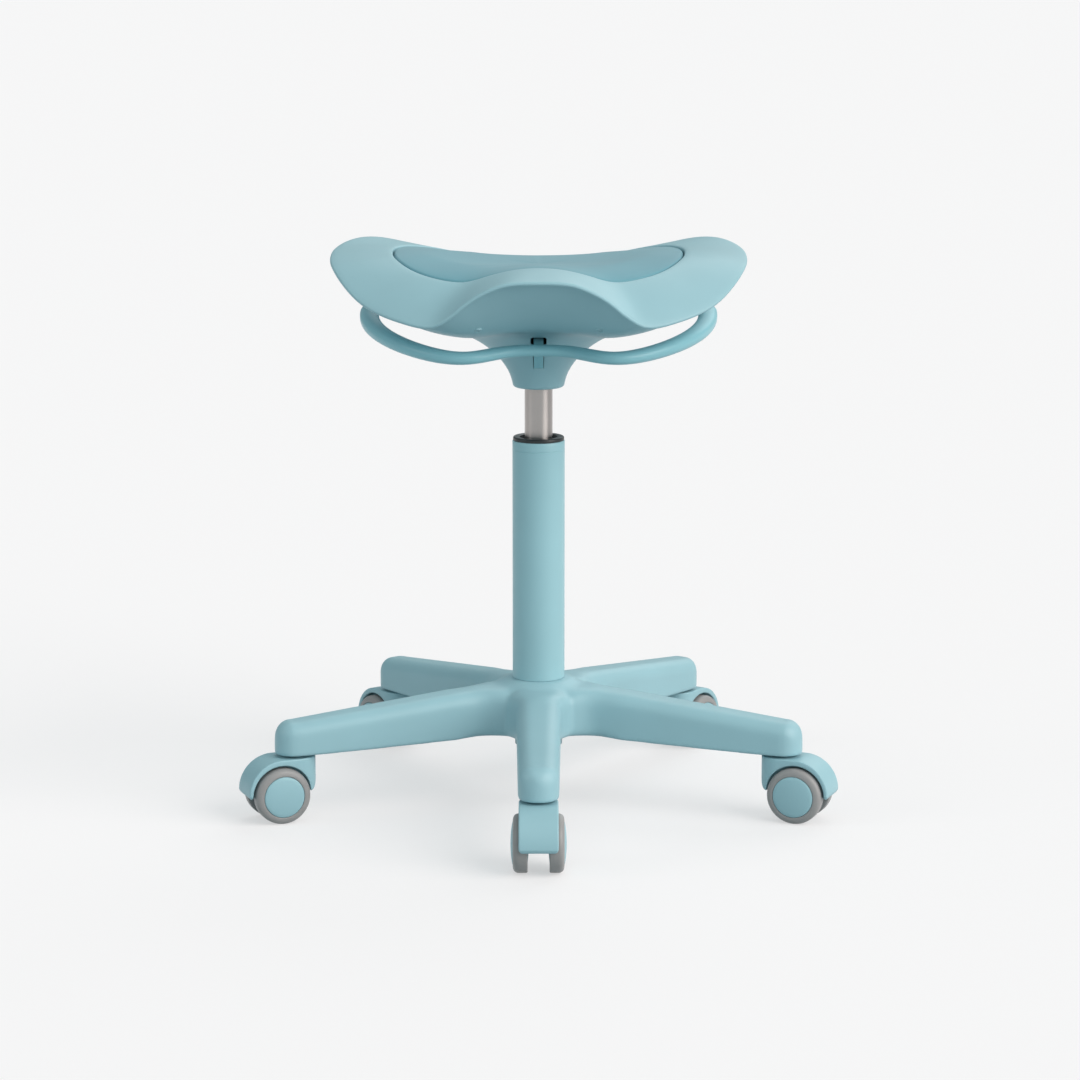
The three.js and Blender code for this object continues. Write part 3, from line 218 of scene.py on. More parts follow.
# %% [markdown]
# The gas cylinder is ground while it turns, which leaves fine scratches round it. They spread every
# reflection up and down but not sideways, so lamps show as long upright streaks. Anisotropy does
# that: the tangent runs round the cylinder's own axis and the spread is turned by a quarter.

# %% Ground steel
SPREAD_UPRIGHT, QUARTER_TURN = 0.85, 0.25

brushed = grained("ground_steel", (0.43, 0.40, 0.385), 0.03, 0.30, 60, 0.10, 1.0, (1, 1, 40))
brushed_tree = brushed.node_tree
brushed_shader = brushed_tree.nodes["Principled BSDF"]
round_axis = brushed_tree.nodes.new("ShaderNodeTangent")
round_axis.direction_type = "RADIAL"
round_axis.axis = "Z"
brushed_tree.links.new(round_axis.outputs["Tangent"], brushed_shader.inputs["Tangent"])
brushed_shader.inputs["Anisotropic"].default_value = SPREAD_UPRIGHT
brushed_shader.inputs["Anisotropic Rotation"].default_value = QUARTER_TURN
print("ground steel spreads reflections upright")

# %% [markdown]
# The pad is softer to the touch than the shell. Its skin is pebbled like fine leather, which cell
# noise gives, with a little sheen where the light grazes it.

# %% Pad skin
PEBBLE_SCALE, PEBBLE_BUMP, PAD_DRIFT_SCALE = 750, 0.18, 14
PAD_DARK, PAD_LIGHT, PAD_ROUGHNESS = (0.143, 0.345, 0.412), (0.163, 0.380, 0.447), (0.52, 0.66)

pad_skin, pad_shader = principled("pad_skin")
pad_tree = pad_skin.node_tree
pad_place = pad_tree.nodes.new("ShaderNodeTexCoord")
pebbles = pad_tree.nodes.new("ShaderNodeTexVoronoi")
pebbles.inputs["Scale"].default_value = PEBBLE_SCALE
pad_drift = pad_tree.nodes.new("ShaderNodeTexNoise")
pad_drift.inputs["Scale"].default_value = PAD_DRIFT_SCALE
pad_drift.inputs["Detail"].default_value = 4
for texture in (pebbles, pad_drift):
    pad_tree.links.new(pad_place.outputs["Object"], texture.inputs["Vector"])
pad_colour = drifting(pad_tree, pad_drift.outputs["Fac"], PAD_DARK, PAD_LIGHT)
pad_tree.links.new(pad_colour, pad_shader.inputs["Base Color"])
pad_relief = pad_tree.nodes.new("ShaderNodeBump")
pad_relief.inputs["Strength"].default_value = PEBBLE_BUMP
pad_relief.inputs["Distance"].default_value = GRAIN_HEIGHT
pad_tree.links.new(pebbles.outputs["Distance"], pad_relief.inputs["Height"])
pad_tree.links.new(pad_relief.outputs["Normal"], pad_shader.inputs["Normal"])
pad_rough = pad_tree.nodes.new("ShaderNodeMapRange")
pad_rough.inputs["To Min"].default_value, pad_rough.inputs["To Max"].default_value = PAD_ROUGHNESS
pad_tree.links.new(pad_drift.outputs["Fac"], pad_rough.inputs["Value"])
pad_tree.links.new(pad_rough.outputs["Result"], pad_shader.inputs["Roughness"])
pad_shader.inputs["Sheen Weight"].default_value = 0.15
pad_shader.inputs["Sheen Roughness"].default_value = 0.5
print("pad skin ready")

# %% [markdown]
# A few helpers for the bench. Blender's operators work on what is selected, so one helper selects.
# The others apply modifiers, join or cut solids, and hand a finished piece over to its body.

# %% Bench helpers
def only(*things):
    bpy.ops.object.select_all(action="DESELECT")
    for thing in things:
        thing.select_set(True)
    bpy.context.view_layer.objects.active = things[-1]


def apply_all(piece):
    only(piece)
    for modifier in list(piece.modifiers):
        bpy.ops.object.modifier_apply(modifier=modifier.name)


def face_outwards(piece):
    only(piece)
    bpy.ops.object.mode_set(mode="EDIT")
    bpy.ops.mesh.select_all(action="SELECT")
    bpy.ops.mesh.remove_doubles(threshold=1e-6)
    bpy.ops.mesh.normals_make_consistent(inside=False)
    bpy.ops.object.mode_set(mode="OBJECT")


def combine(piece, tool, how):
    boolean = piece.modifiers.new("combine", "BOOLEAN")
    boolean.operation = how
    boolean.object = tool
    apply_all(piece)
    bpy.data.objects.remove(tool)


def round_edges(piece, width, segments):
    rounding = piece.modifiers.new("rounding", "BEVEL")
    rounding.width, rounding.segments = width * MM, segments
    apply_all(piece)


def soften(piece, degrees=40):
    only(piece)
    bpy.ops.object.shade_smooth_by_angle(angle=math.radians(degrees))


def hand_over(piece, body, material, nodes):
    piece.data.materials.clear()
    piece.data.materials.append(material)
    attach(piece, body)
    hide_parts(*nodes)
    print(piece.name, len(piece.data.polygons), "faces")


# %% [markdown]
# Two ways to make a smooth body from rows of points. A tube-like body starts as Blender's torus and
# a closed one as its sphere. Both have a regular net of faces, so each corner of the net can be
# carried to its own point: the net stays closed whatever the shape.

# %% Wrap a torus or a sphere onto rows of points
def wrap_torus(name, rows):
    across, along = len(rows), len(rows[0])
    bpy.ops.object.select_all(action="DESELECT")
    bpy.ops.mesh.primitive_torus_add(
        major_segments=along, minor_segments=across, major_radius=1, minor_radius=0.25)
    body = bpy.context.object
    body.name = name
    for index, vertex in enumerate(body.data.vertices):
        step, row = divmod(index, across)
        vertex.co = rows[row][step] * MM
    face_outwards(body)
    return body


def wrap_sphere(name, rows, first, last):
    around, levels = len(rows[0]), len(rows)
    bpy.ops.object.select_all(action="DESELECT")
    bpy.ops.mesh.primitive_uv_sphere_add(segments=around, ring_count=levels + 1, radius=1)
    body = bpy.context.object
    body.name = name
    for vertex in body.data.vertices:
        level = round(math.acos(max(-1, min(1, vertex.co.z))) / math.pi * (levels + 1))
        step = round(math.atan2(vertex.co.y, vertex.co.x) / math.tau * around) % around
        if level == 0:
            vertex.co = first * MM
        elif level == levels + 1:
            vertex.co = last * MM
        else:
            vertex.co = rows[level - 1][step] * MM
    face_outwards(body)
    return body


def circle_row(radius, height, count):
    angles = [math.tau * i / count for i in range(count)]
    return [Vector((radius * math.cos(a), radius * math.sin(a), height)) for a in angles]


def turned(name, profile, count=96):
    """A lathe body: the profile closes on itself, or starts and ends on the axis."""
    if profile[0][0] == 0:
        rows = [circle_row(radius, height, count) for radius, height in profile[1:-1]]
        first, last = (Vector((0, 0, profile[i][1])) for i in (0, -1))
        return wrap_sphere(name, rows, first, last)
    return wrap_torus(name, [circle_row(radius, height, count) for radius, height in profile])


def arc(centre, radius, start, end, steps):
    """Points of a circular arc in the profile's plane, from one angle to another in degrees."""
    angles = [math.radians(start + (end - start) * i / steps) for i in range(steps + 1)]
    return [(centre[0] + radius * math.cos(a), centre[1] + radius * math.sin(a)) for a in angles]


# %% [markdown]
# The saddle. Its plan is a rounded oval, wider than it is long. Across, it dips in the middle and
# its wings rise; in front a pommel stands up and the rim rolls down on both sides of it, which
# leaves the arch that the legs straddle. The rim's height round the seat is a short table, judged
# from the photograph, and everything between the middle and the rim follows from it.
# A place on the seat is named by a turn, from 0 in front round to 1, and by a share of the way from
# the middle to the rim.

# %% The saddle's surface
SEAT_HALF_WIDTH, SEAT_FRONT, SEAT_REAR = 203, 165, 152
RIM_LOW, RIM_HIGH, SEAT_MIDDLE = 492, 553, 535
RIM_HEIGHTS = [
    (0, 0.735), (0.06, 0.705), (0.1, 0.57), (0.13, 0.4), (0.16, 0.165), (0.192, 0), (0.245, 0.06),
    (0.317, 0.255), (0.394, 0.61), (0.44, 0.76), (0.56, 0.925), (0.65, 1.005), (0.72, 0.9),
    (0.82, 0.57), (1, 0.325)]
RECESS = [(0, 0.66), (0.19, 0.71), (0.5, 0.7), (0.75, 0.77), (1, 0.79)]
RECESS_DEPTH, SHELL_WALL, RIM_WALL = 7, 4, 4
PLAN_POWER, WING_RISE, WING_POWER = 2.3, 38, 2.2
POMMEL_RISE, POMMEL_HALF, POMMEL_SHARE = 10, 52, 0.7
ROLL_START, ROLL_SPAN, ROLL_POWER = 0.45, 0.55, 2.2
WALL_THINS_AT, WALL_THINS_OVER = 0.7, 0.16
NUDGE = 0.002


def smooth_step(x):
    t = max(0.0, min(1.0, x))
    return t * t * (3 - 2 * t)


def mix(a, b, t):
    return a + (b - a) * t


def curve_through(pairs, at):
    last = len(pairs) - 1

    def slope(i):
        if i in (0, last):
            return 0.0
        return (pairs[i + 1][1] - pairs[i - 1][1]) / (pairs[i + 1][0] - pairs[i - 1][0])

    i = 0
    while i < last - 1 and at > pairs[i + 1][0]:
        i += 1
    span = pairs[i + 1][0] - pairs[i][0]
    t = (at - pairs[i][0]) / span
    rise = pairs[i + 1][1] - pairs[i][1]
    a, b = slope(i) * span - rise, rise - slope(i + 1) * span
    return pairs[i][1] + rise * t + t * (1 - t) * (a * (1 - t) + b * t)


def fold(turn):
    return 1 - abs(1 - 2 * (turn % 1))


def rim_plan(turn):
    across, along = math.sin(math.tau * turn), -math.cos(math.tau * turn)
    reach = SEAT_FRONT if along < 0 else SEAT_REAR
    side, end = abs(across / SEAT_HALF_WIDTH), abs(along / reach)
    scale = (side ** PLAN_POWER + end ** PLAN_POWER) ** (-1 / PLAN_POWER)
    return Vector((across * scale, along * scale))


def saddle_height(x, y):
    wing = WING_RISE * abs(x / SEAT_HALF_WIDTH) ** WING_POWER
    pommel = POMMEL_RISE * math.exp(-((x / POMMEL_HALF) ** 2))
    pommel = pommel * smooth_step(-y / SEAT_FRONT / POMMEL_SHARE)
    return SEAT_MIDDLE + wing + pommel


def seat_top(turn, share):
    rim = rim_plan(turn)
    x, y = rim.x * share, rim.y * share
    rim_height = mix(RIM_LOW, RIM_HIGH, curve_through(RIM_HEIGHTS, fold(turn)))
    roll = max(0, (share - ROLL_START) / ROLL_SPAN) ** ROLL_POWER
    return Vector((x, y, saddle_height(x, y) - (saddle_height(rim.x, rim.y) - rim_height) * roll))


def normal_of(surface, turn, share):
    inner = max(share, 2 * NUDGE)
    outwards = surface(turn, inner + NUDGE) - surface(turn, inner - NUDGE)
    onwards = surface(turn + NUDGE, inner) - surface(turn - NUDGE, inner)
    return outwards.cross(onwards).normalized()


def sunk(surface, turn, share, depth):
    return surface(turn, share) - normal_of(surface, turn, share) * depth


def rim_radius(turn):
    return rim_plan(turn).length


def recess_share(turn):
    return curve_through(RECESS, fold(turn))


def shell_depth(share):
    thinned = smooth_step((share - WALL_THINS_AT) / WALL_THINS_OVER)
    return mix(RECESS_DEPTH + SHELL_WALL, RIM_WALL, thinned)


def underside(turn, share):
    return sunk(seat_top, turn, share, shell_depth(share))


TURN_COUNT = 160
TURNS = [i / TURN_COUNT for i in range(TURN_COUNT)]
print("lip height in front", round(seat_top(0, 1).z, 1), "wing", round(seat_top(0.33, 1).z, 1))

# %% [markdown]
# The shell is one moulding: a recess for the pad, a broad outer band, a half-round rim 4 mm thick
# and a plain underside. The rows of points go round it in that order, and a sphere's net is wrapped
# over them, which keeps the wall closed and the long highlights unbroken.

# %% Seat shell
RECESS_LIP = ((0, 1.4), (0.15, 0.8), (0.6, 0.25), (1.4, 0))  # outwards, down
LIP_OUT, BAND_ROWS = RECESS_LIP[-1][0], 12


def rim_point(turn, degrees):
    share = 1 - RIM_WALL / 2 / rim_radius(turn)
    start = seat_top(turn, share)
    outwards = (seat_top(turn, 1) - start).normalized()
    angle = math.radians(degrees)
    return (start + normal_of(seat_top, turn, share) * (RIM_WALL / 2 * (math.sin(angle) - 1))
            + outwards * (RIM_WALL / 2 * math.cos(angle)))


def shell_rows():
    rows = []
    for share in (0.3, 0.6, 0.85, 1):
        rows.append([sunk(seat_top, t, share * recess_share(t), RECESS_DEPTH) for t in TURNS])
    for out, depth in RECESS_LIP:
        rows.append([sunk(seat_top, t, recess_share(t) + out / rim_radius(t), depth)
                     for t in TURNS])
    for step in range(1, BAND_ROWS):
        rows.append([seat_top(t, mix(recess_share(t) + LIP_OUT / rim_radius(t),
                                     1 - RIM_WALL / 2 / rim_radius(t), step / BAND_ROWS))
                     for t in TURNS])
    for degrees in (90, 65, 40, 15, -10, -40, -65, -88):
        rows.append([rim_point(t, degrees) for t in TURNS])
    for share in (0.94, 0.9, 0.86, 0.8, 0.75, 0.7, 0.5, 0.25):
        rows.append([underside(t, share) for t in TURNS])
    return rows


seat_shell = wrap_sphere("seat_shell_skin", shell_rows(),
                         seat_top(0, 0) - Vector((0, 0, RECESS_DEPTH)),
                         seat_top(0, 0) - Vector((0, 0, RECESS_DEPTH + SHELL_WALL)))
soften(seat_shell, 50)
hand_over(seat_shell, "seat", moulded, ["seat_shell"])

# %% [markdown]
# The pad lies in the recess with a narrow dark groove round it. It is thin foam under a tight skin,
# so it hardly crowns. The body is first made as a plain slab that follows the recess, with a
# rounded edge, and left uncrowned.

# %% Pad body
GROOVE, PAD_EDGE, PAD_SINK, PAD_FOOT, PAD_ROWS = 1.5, 3.0, 0.7, RECESS_DEPTH - 0.5, 18


def pad_edge(turn):
    return recess_share(turn) - GROOVE / rim_radius(turn)


def pad_rows():
    rows = [[sunk(seat_top, t, share * pad_edge(t), PAD_FOOT) for t in TURNS]
            for share in (0.35, 0.7, 1)]
    for degrees in (0, 18, 36, 54, 72, 90):
        angle = math.radians(degrees)
        inset = PAD_EDGE * (1 - math.cos(angle))
        sink = PAD_EDGE * (1 - math.sin(angle)) + PAD_SINK
        rows.append([sunk(seat_top, t, pad_edge(t) - inset / rim_radius(t), sink) for t in TURNS])
    for step in range(1, PAD_ROWS):
        sink = PAD_SINK * (1 - smooth_step(step / 3))
        rows.append([sunk(seat_top, t, (pad_edge(t) - PAD_EDGE / rim_radius(t))
                          * (1 - step / PAD_ROWS), sink) for t in TURNS])
    return rows


seat_pad = wrap_sphere("seat_pad_skin", pad_rows(),
                       seat_top(0, 0) - Vector((0, 0, PAD_FOOT)), seat_top(0, 0))
print("pad", len(seat_pad.data.vertices), "corners")

# %% [markdown]
# Foam swells against its skin, and a crown drawn by hand never quite looks like that. So cloth
# simulation blows the skin up a little from inside, while the edge is held down as its moulded
# seam would hold it. No point may move further than the cap, because the real pad is nearly flat.

# %% Blow up the pad's skin
HELD_FROM, FACING_UP = 0.93, 0.5


def blow_up(pad, pressure, frames, cap):
    rest = [vertex.co.copy() for vertex in pad.data.vertices]
    held = pad.vertex_groups.new(name="held")
    free = {v.index for v in pad.data.vertices
            if v.normal.z > FACING_UP and math.hypot(v.co.x, v.co.y) < HELD_FROM * pad_reach(v.co)}
    held.add([v.index for v in pad.data.vertices if v.index not in free], 1.0, "REPLACE")
    cloth = pad.modifiers.new("foam_skin", "CLOTH")
    cloth.settings.quality = 4
    cloth.settings.mass = 0.3
    cloth.settings.tension_stiffness = cloth.settings.compression_stiffness = 40
    cloth.settings.bending_stiffness = 8
    cloth.settings.use_pressure = True
    cloth.settings.uniform_pressure_force = pressure
    cloth.settings.effector_weights.gravity = 0
    cloth.settings.vertex_group_mass = "held"
    cloth.collision_settings.use_collision = False
    cloth.point_cache.frame_start, cloth.point_cache.frame_end = 1, frames
    for number in range(1, frames + 1):
        bpy.context.scene.frame_set(number)
    apply_all(pad)
    bpy.context.scene.frame_set(1)
    for vertex, start in zip(pad.data.vertices, rest):
        move = vertex.co - start
        if move.length > cap:
            vertex.co = start + move * (cap / move.length)
    pad.vertex_groups.clear()
    return max((v.co - start).length for v, start in zip(pad.data.vertices, rest))


def pad_reach(point):
    turn = math.atan2(point.x, -point.y) / math.tau
    return pad_edge(turn % 1) * rim_radius(turn) * MM


crown = blow_up(seat_pad, pressure=3.0, frames=12, cap=1.8 * MM)
print("crown in mm", round(crown / MM, 2))
soften(seat_pad, 60)
hand_over(seat_pad, "seat", pad_skin, ["seat_pad"])

# %% [markdown]
# The cover under the seat is a thin moulding too. It starts as a neck round the gas cylinder, opens
# as a cone and runs out into a shallow belly that meets the shell under its rim. The row of points
# from neck to rim is the same all round, except that its outer end follows the rim.

# %% The cover's surface
COVER_WALL, NECK, NECK_FOOT, NECK_ROUND = 2.8, 25.5, 415, 3.6
CONE_RADIUS, CONE_FRONT, CONE_SIDE, COVER_EDGE = 72, 478, 467, 0.955
BELLY_LOW, BELLY_HIGH, BELLY_REACH = 469, 506, 0.74
BELLY = [(0, 0.5), (0.19, 0), (0.3, 0.05), (0.5, 0.3), (0.8, 0.85), (1, 1)]
CONE_REACH, CONE_RISE = (0.04, 0.56), (0.40, 0.85)
CONE_STEPS, BELLY_STEPS = 14, 16


def bezier(points, t):
    while len(points) > 1:
        points = [a.lerp(b, t) for a, b in zip(points, points[1:])]
    return points[0]


def cover_profile(turn):
    edge = sunk(underside, turn, COVER_EDGE, 0.4)
    across = math.hypot(edge.x, edge.y)
    belly = mix(BELLY_LOW, BELLY_HIGH, curve_through(BELLY, fold(turn)))
    cone_height = mix(CONE_FRONT, CONE_SIDE, math.sin(math.tau * turn) ** 2)
    joint = Vector((CONE_RADIUS, cone_height))
    neck_top = NECK_FOOT + NECK_ROUND
    cone = [Vector((NECK, neck_top))]
    cone += [Vector((mix(NECK, CONE_RADIUS, r), mix(neck_top, cone_height, z)))
             for r, z in zip(CONE_REACH, CONE_RISE)]
    cone.append(joint)
    wing = [joint, Vector((across * BELLY_REACH, belly)), Vector((across, edge.z))]
    line = [bezier(cone, i / CONE_STEPS) for i in range(CONE_STEPS)]
    line += [bezier(wing, i / BELLY_STEPS) for i in range(BELLY_STEPS + 1)]
    for _ in range(2):
        calmed = [(a + 2 * b + c) / 4 for a, b, c in zip(line, line[1:], line[2:])]
        line = [line[0]] + calmed + [line[-1]]
    return line


def on_bearing(turn, radius, height):
    rim = rim_plan(turn)
    angle = math.atan2(rim.y, rim.x)
    return Vector((radius * math.cos(angle), radius * math.sin(angle), height))


def offset(line, wall):
    inner = []
    for i, point in enumerate(line):
        along = (line[min(i + 1, len(line) - 1)] - line[max(i - 1, 0)]).normalized()
        inner.append(point + Vector((-along.y, along.x)) * wall)
    return inner


print("cover meets the shell", round(cover_profile(0)[-1].x, 1), "mm in front of the column")

# %% [markdown]
# The cover could be a lathe body, but its outer end has to follow the oval rim. So each bearing
# gets its own row: out along the outside, back along the inside at one wall's distance. The neck's
# foot is rounded and has a bore for the cylinder. After that come the small features: the slot for
# the lever with a wider shoulder over it, four screw pockets and two blind bores in front.

# %% Cover under the seat
COVER_BORE, SLOT_FOOT, SLOT_TOP, BLADE_HALF = 14.25, 437.4, 471.3, 4.7
SLOT_HALF, SLOT_FRONT, SLOT_REAR, SLOT_PLAY = 6, -74, -9, 0.4
SHOULDER_HALF, SHOULDER_FOOT, SHOULDER_ROUND = 7.8, 463, 2
SCREW_ACROSS, SCREW_ALONG, HEAD_BORE, HEAD_SEAT = 57, 60, 4.5, 6.3
POCKET_RADIUS, POCKET_LOW, POCKET_HIGH, CUT_BELOW = 6.8, 4.5, 8.3, 12
MARK_ACROSS, MARK_FRONT, MARK_BORE, MARK_DEPTH = 57.6, -112.5, 2.9, 5
CUP_RADIUS, CUP_LOW, CUP_HIGH = 4.2, 1, 6


def cover_rows():
    columns = []
    for turn in TURNS:
        outer = cover_profile(turn)
        inner = offset(outer, COVER_WALL)
        neck = arc((NECK - NECK_ROUND, NECK_FOOT + NECK_ROUND), NECK_ROUND, -90, 0, 6)[:-1]
        floor_top, inside = NECK_FOOT + COVER_WALL, NECK - COVER_WALL
        way = ([Vector((COVER_BORE, NECK_FOOT))] + [Vector(p) for p in neck] + outer + inner[::-1]
               + [Vector((inside, floor_top)), Vector((COVER_BORE, floor_top))])
        columns.append([on_bearing(turn, p.x, p.y) for p in way])
    return [list(row) for row in zip(*columns)]


def cover_height(x, y):
    turn = math.atan2(x, -y) / math.tau % 1
    line = cover_profile(turn)
    for a, b in zip(line, line[1:]):
        if a.x <= math.hypot(x, y) <= b.x:
            return mix(a.y, b.y, (math.hypot(x, y) - a.x) / (b.x - a.x))
    return line[-1].y


SCREW_PLACES = [(end, side, SCREW_ACROSS * across, SCREW_ALONG * along)
                for end, along in (("front", -1), ("rear", 1))
                for side, across in (("left", -1), ("right", 1))]


def rod(radius, length, centre, rotation=(0, 0, 0), count=48):
    bpy.ops.object.select_all(action="DESELECT")
    bpy.ops.mesh.primitive_cylinder_add(
        vertices=count, radius=radius * MM, depth=length * MM,
        location=[c * MM for c in centre], rotation=rotation)
    bpy.ops.object.transform_apply()
    return bpy.context.object


def upright(radius, low, high, x, y, count=48):
    return rod(radius, high - low, (x, y, (low + high) / 2), count=count)


def block(low, high):
    bpy.ops.object.select_all(action="DESELECT")
    centre = [(a + b) / 2 * MM for a, b in zip(low, high)]
    bpy.ops.mesh.primitive_cube_add(size=1, location=centre)
    bpy.context.object.scale = [(b - a) * MM for a, b in zip(low, high)]
    bpy.ops.object.transform_apply()
    return bpy.context.object


under_cover = wrap_torus("under_shell_skin", cover_rows())
slit = block((-SLOT_HALF, SLOT_FRONT, SLOT_FOOT), (SLOT_HALF, SLOT_REAR, SLOT_TOP - 1))
for vertex in slit.data.vertices:
    if vertex.co.z < (SLOT_FOOT + 1) * MM:
        vertex.co.x = math.copysign(BLADE_HALF + SLOT_PLAY, vertex.co.x) * MM
combine(under_cover, slit, "DIFFERENCE")
shoulder = block((-SHOULDER_HALF, SLOT_FRONT, SHOULDER_FOOT), (SHOULDER_HALF, SLOT_REAR, SLOT_TOP))
round_edges(shoulder, SHOULDER_ROUND, 3)
combine(under_cover, shoulder, "DIFFERENCE")
for end, side, x, y in SCREW_PLACES:
    height = cover_height(x, y)
    pocket = upright(POCKET_RADIUS, height + POCKET_LOW, height + POCKET_HIGH, x, y)
    combine(under_cover, pocket, "UNION")
    bore = upright(HEAD_BORE, height - CUT_BELOW, height + HEAD_SEAT, x, y)
    combine(under_cover, bore, "DIFFERENCE")
for x in (-MARK_ACROSS, MARK_ACROSS):
    height = cover_height(x, MARK_FRONT)
    cup = upright(CUP_RADIUS, height + CUP_LOW, height + CUP_HIGH, x, MARK_FRONT)
    combine(under_cover, cup, "UNION")
    bore = upright(MARK_BORE, height - CUP_HIGH, height + MARK_DEPTH, x, MARK_FRONT)
    combine(under_cover, bore, "DIFFERENCE")
soften(under_cover, 35)
hand_over(under_cover, "seat", moulded, ["under_shell"])

# %% [markdown]
# The height lever is a ring of oval bar that runs round under the seat, so that it can be reached
# from any side. Its front dips inwards and passes across the neck, where a flat blade goes in
# through a slot. The bar is thinnest there and thicker along the sides. A bevelled curve would make
# a bar of one thickness, so a torus is wrapped onto ovals that grow along the way. The path is
# calmed a few times first, because a kink in it would show as a streak.

# %% Ring-shaped lever
RING_HALF_WIDTH, RING_WIDEST, RING_FRONT, RING_REAR = 167.6, 50, 165, 68
RING_DENT, RING_FRONT_HEIGHT, RING_WIDTH, RING_SIDE_LIFT = 42, 460.6, 19, 3.0
RING_TILT, RING_THIN, RING_THICK, DENT_HALF = 8.9, 11, 14.5, 54.5
RING_POWER, DENT_POWER, BAR_POWER = 2.1, 3.35, 2.35
PIN_BORE, PIN_Y, PIN_Z = 2.8, -27, 473
RING_FRONT_Y = RING_WIDEST - RING_FRONT + RING_DENT


def superround(part, power):
    """A sine or cosine, changed so that the round it draws is a little squarer."""
    return math.copysign(abs(part) ** (2 / power), part)


def ring_path(turn):
    across, along = math.sin(math.tau * turn), -math.cos(math.tau * turn)
    x = RING_HALF_WIDTH * superround(across, RING_POWER)
    dent = RING_DENT * math.exp(-(abs(x / DENT_HALF) ** DENT_POWER)) if along < 0 else 0
    reach = RING_FRONT if along < 0 else RING_REAR
    y = RING_WIDEST + reach * superround(along, RING_POWER) + dent
    rise = (y - RING_FRONT_Y) * math.tan(math.radians(RING_TILT))
    return Vector((x, y, RING_FRONT_HEIGHT + rise))


def bar_thickness(centre):
    return mix(RING_THIN, RING_THICK, smooth_step(abs(centre.x) / RING_HALF_WIDTH))


def ring_rows(count=192, sides=32):
    rows = [[] for _ in range(sides)]
    centres = [ring_path(i / count) for i in range(count)]
    for centre in centres:
        side_share = abs(centre.x) / (RING_HALF_WIDTH / 2) - 1
        centre.z += (RING_SIDE_LIFT * smooth_step(side_share)
                     - (bar_thickness(centre) - RING_THIN) / 2)
    for _ in range(6):
        centres = [(centres[i - 1] + 2 * centres[i] + centres[(i + 1) % count]) / 4
                   for i in range(count)]
    for i, centre in enumerate(centres):
        thickness = bar_thickness(centre)
        forwards = (centres[(i + 1) % count] - centres[i - 1]).normalized()
        outwards = Vector((forwards.y, -forwards.x, 0)).normalized()
        upwards = outwards.cross(forwards)
        for k in range(sides):
            angle = math.tau * k / sides
            across, up = (superround(f, BAR_POWER) for f in (math.cos(angle), math.sin(angle)))
            rows[k].append(centre + outwards * (RING_WIDTH / 2 * across)
                           + upwards * (thickness / 2 * up))
    return rows


def extruded(name, corners, way, turn=None):
    """A filled ring of corners, extruded by the given way, then turned if asked."""
    bpy.ops.object.select_all(action="DESELECT")
    bpy.ops.mesh.primitive_circle_add(vertices=len(corners), radius=1, fill_type="NGON")
    body = bpy.context.object
    body.name = name
    for vertex, corner in zip(body.data.vertices, corners):
        vertex.co = corner * MM
    bpy.ops.object.mode_set(mode="EDIT")
    bpy.ops.mesh.select_all(action="SELECT")
    bpy.ops.mesh.extrude_region_move(TRANSFORM_OT_translate={"value": [w * MM for w in way]})
    bpy.ops.object.mode_set(mode="OBJECT")
    if turn:
        body.data.transform(turn)
    face_outwards(body)
    return body


lever_ring = wrap_torus("handle_ring_skin", ring_rows())
blade_outline = [
    (-72, 465), (-72, 457.3), (-53, 455.5), (-46, 455), (-38, 447.5), (-31.6, 437.5),
    (-26.75, 437.5), (-23, 458), (-18, 465.8), (-8, 468.3), (4, 468.3), (4.3, 473.3), (2, 475.8),
    (-27, 480), (-34, 477.6), (-45, 472.6), (-54, 469.3), (-59, 467.4), (-62.5, 467.0),
    (-66, 466.3)]
blade = extruded("lever_blade", [Vector((-BLADE_HALF, y, z)) for y, z in blade_outline],
                 (2 * BLADE_HALF, 0, 0))
round_edges(blade, 0.4, 2)
combine(blade, rod(PIN_BORE, 30, (0, PIN_Y, PIN_Z), (0, math.radians(90), 0), 32), "DIFFERENCE")
combine(lever_ring, blade, "UNION")
soften(lever_ring, 35)
hand_over(lever_ring, "lever", handled, ["handle_ring"])

# %% [markdown]
# The column is turned work: a coated tube with a fine witness line just under its top, a black
# bush whose flange closes the tube, and the ground steel cylinder that slides in it. A lathe
# profile for each is enough, given as radius and height, with small radii on the edges so that
# they catch the light.

# %% Column, bush and cylinder
column = turned("column_tube_skin", [
    (23.4, 56), (24.5, 124.1), (25.5, 124.1), (25.75, 124.4), (25.75, 352.8), (25.5, 353.0),
    (25.5, 353.3), (25.75, 353.5), (25.75, 361.4), (25.5, 362.0), (25.0, 362.2), (23.75, 362.2),
    (23.75, 126.3), (22.4, 124.3), (21.4, 64), (5.3, 64), (5.3, 60), (21.4, 60), (21.4, 56)])
soften(column, 30)
hand_over(column, "base", coated, ["column_tube"])

bush = turned("guide_bush_skin", [
    (14.05, 292.5), (23.45, 292.5), (23.45, 362.4), (24.8, 362.4), (25.15, 362.7), (25.15, 364.7),
    (24.9, 365.4), (24.2, 365.9), (19.4, 365.9), (18.6, 365.5), (17.6, 362.2), (17.0, 361.8),
    (14.6, 361.8), (14.05, 361.2)])
soften(bush, 35)
hand_over(bush, "base", black_plastic, ["guide_bush"])

cylinder = turned("gas_cylinder_skin", [
    (11, 110.2), (13.2, 110.2), (13.75, 110.8), (13.75, 420), (12.6, 461.4), (12.0, 462),
    (4.3, 462), (4.3, 438.9), (1, 438.9), (1, 433.9), (11, 433.9)])
soften(cylinder, 35)
hand_over(cylinder, "seat", brushed, ["gas_cylinder"])

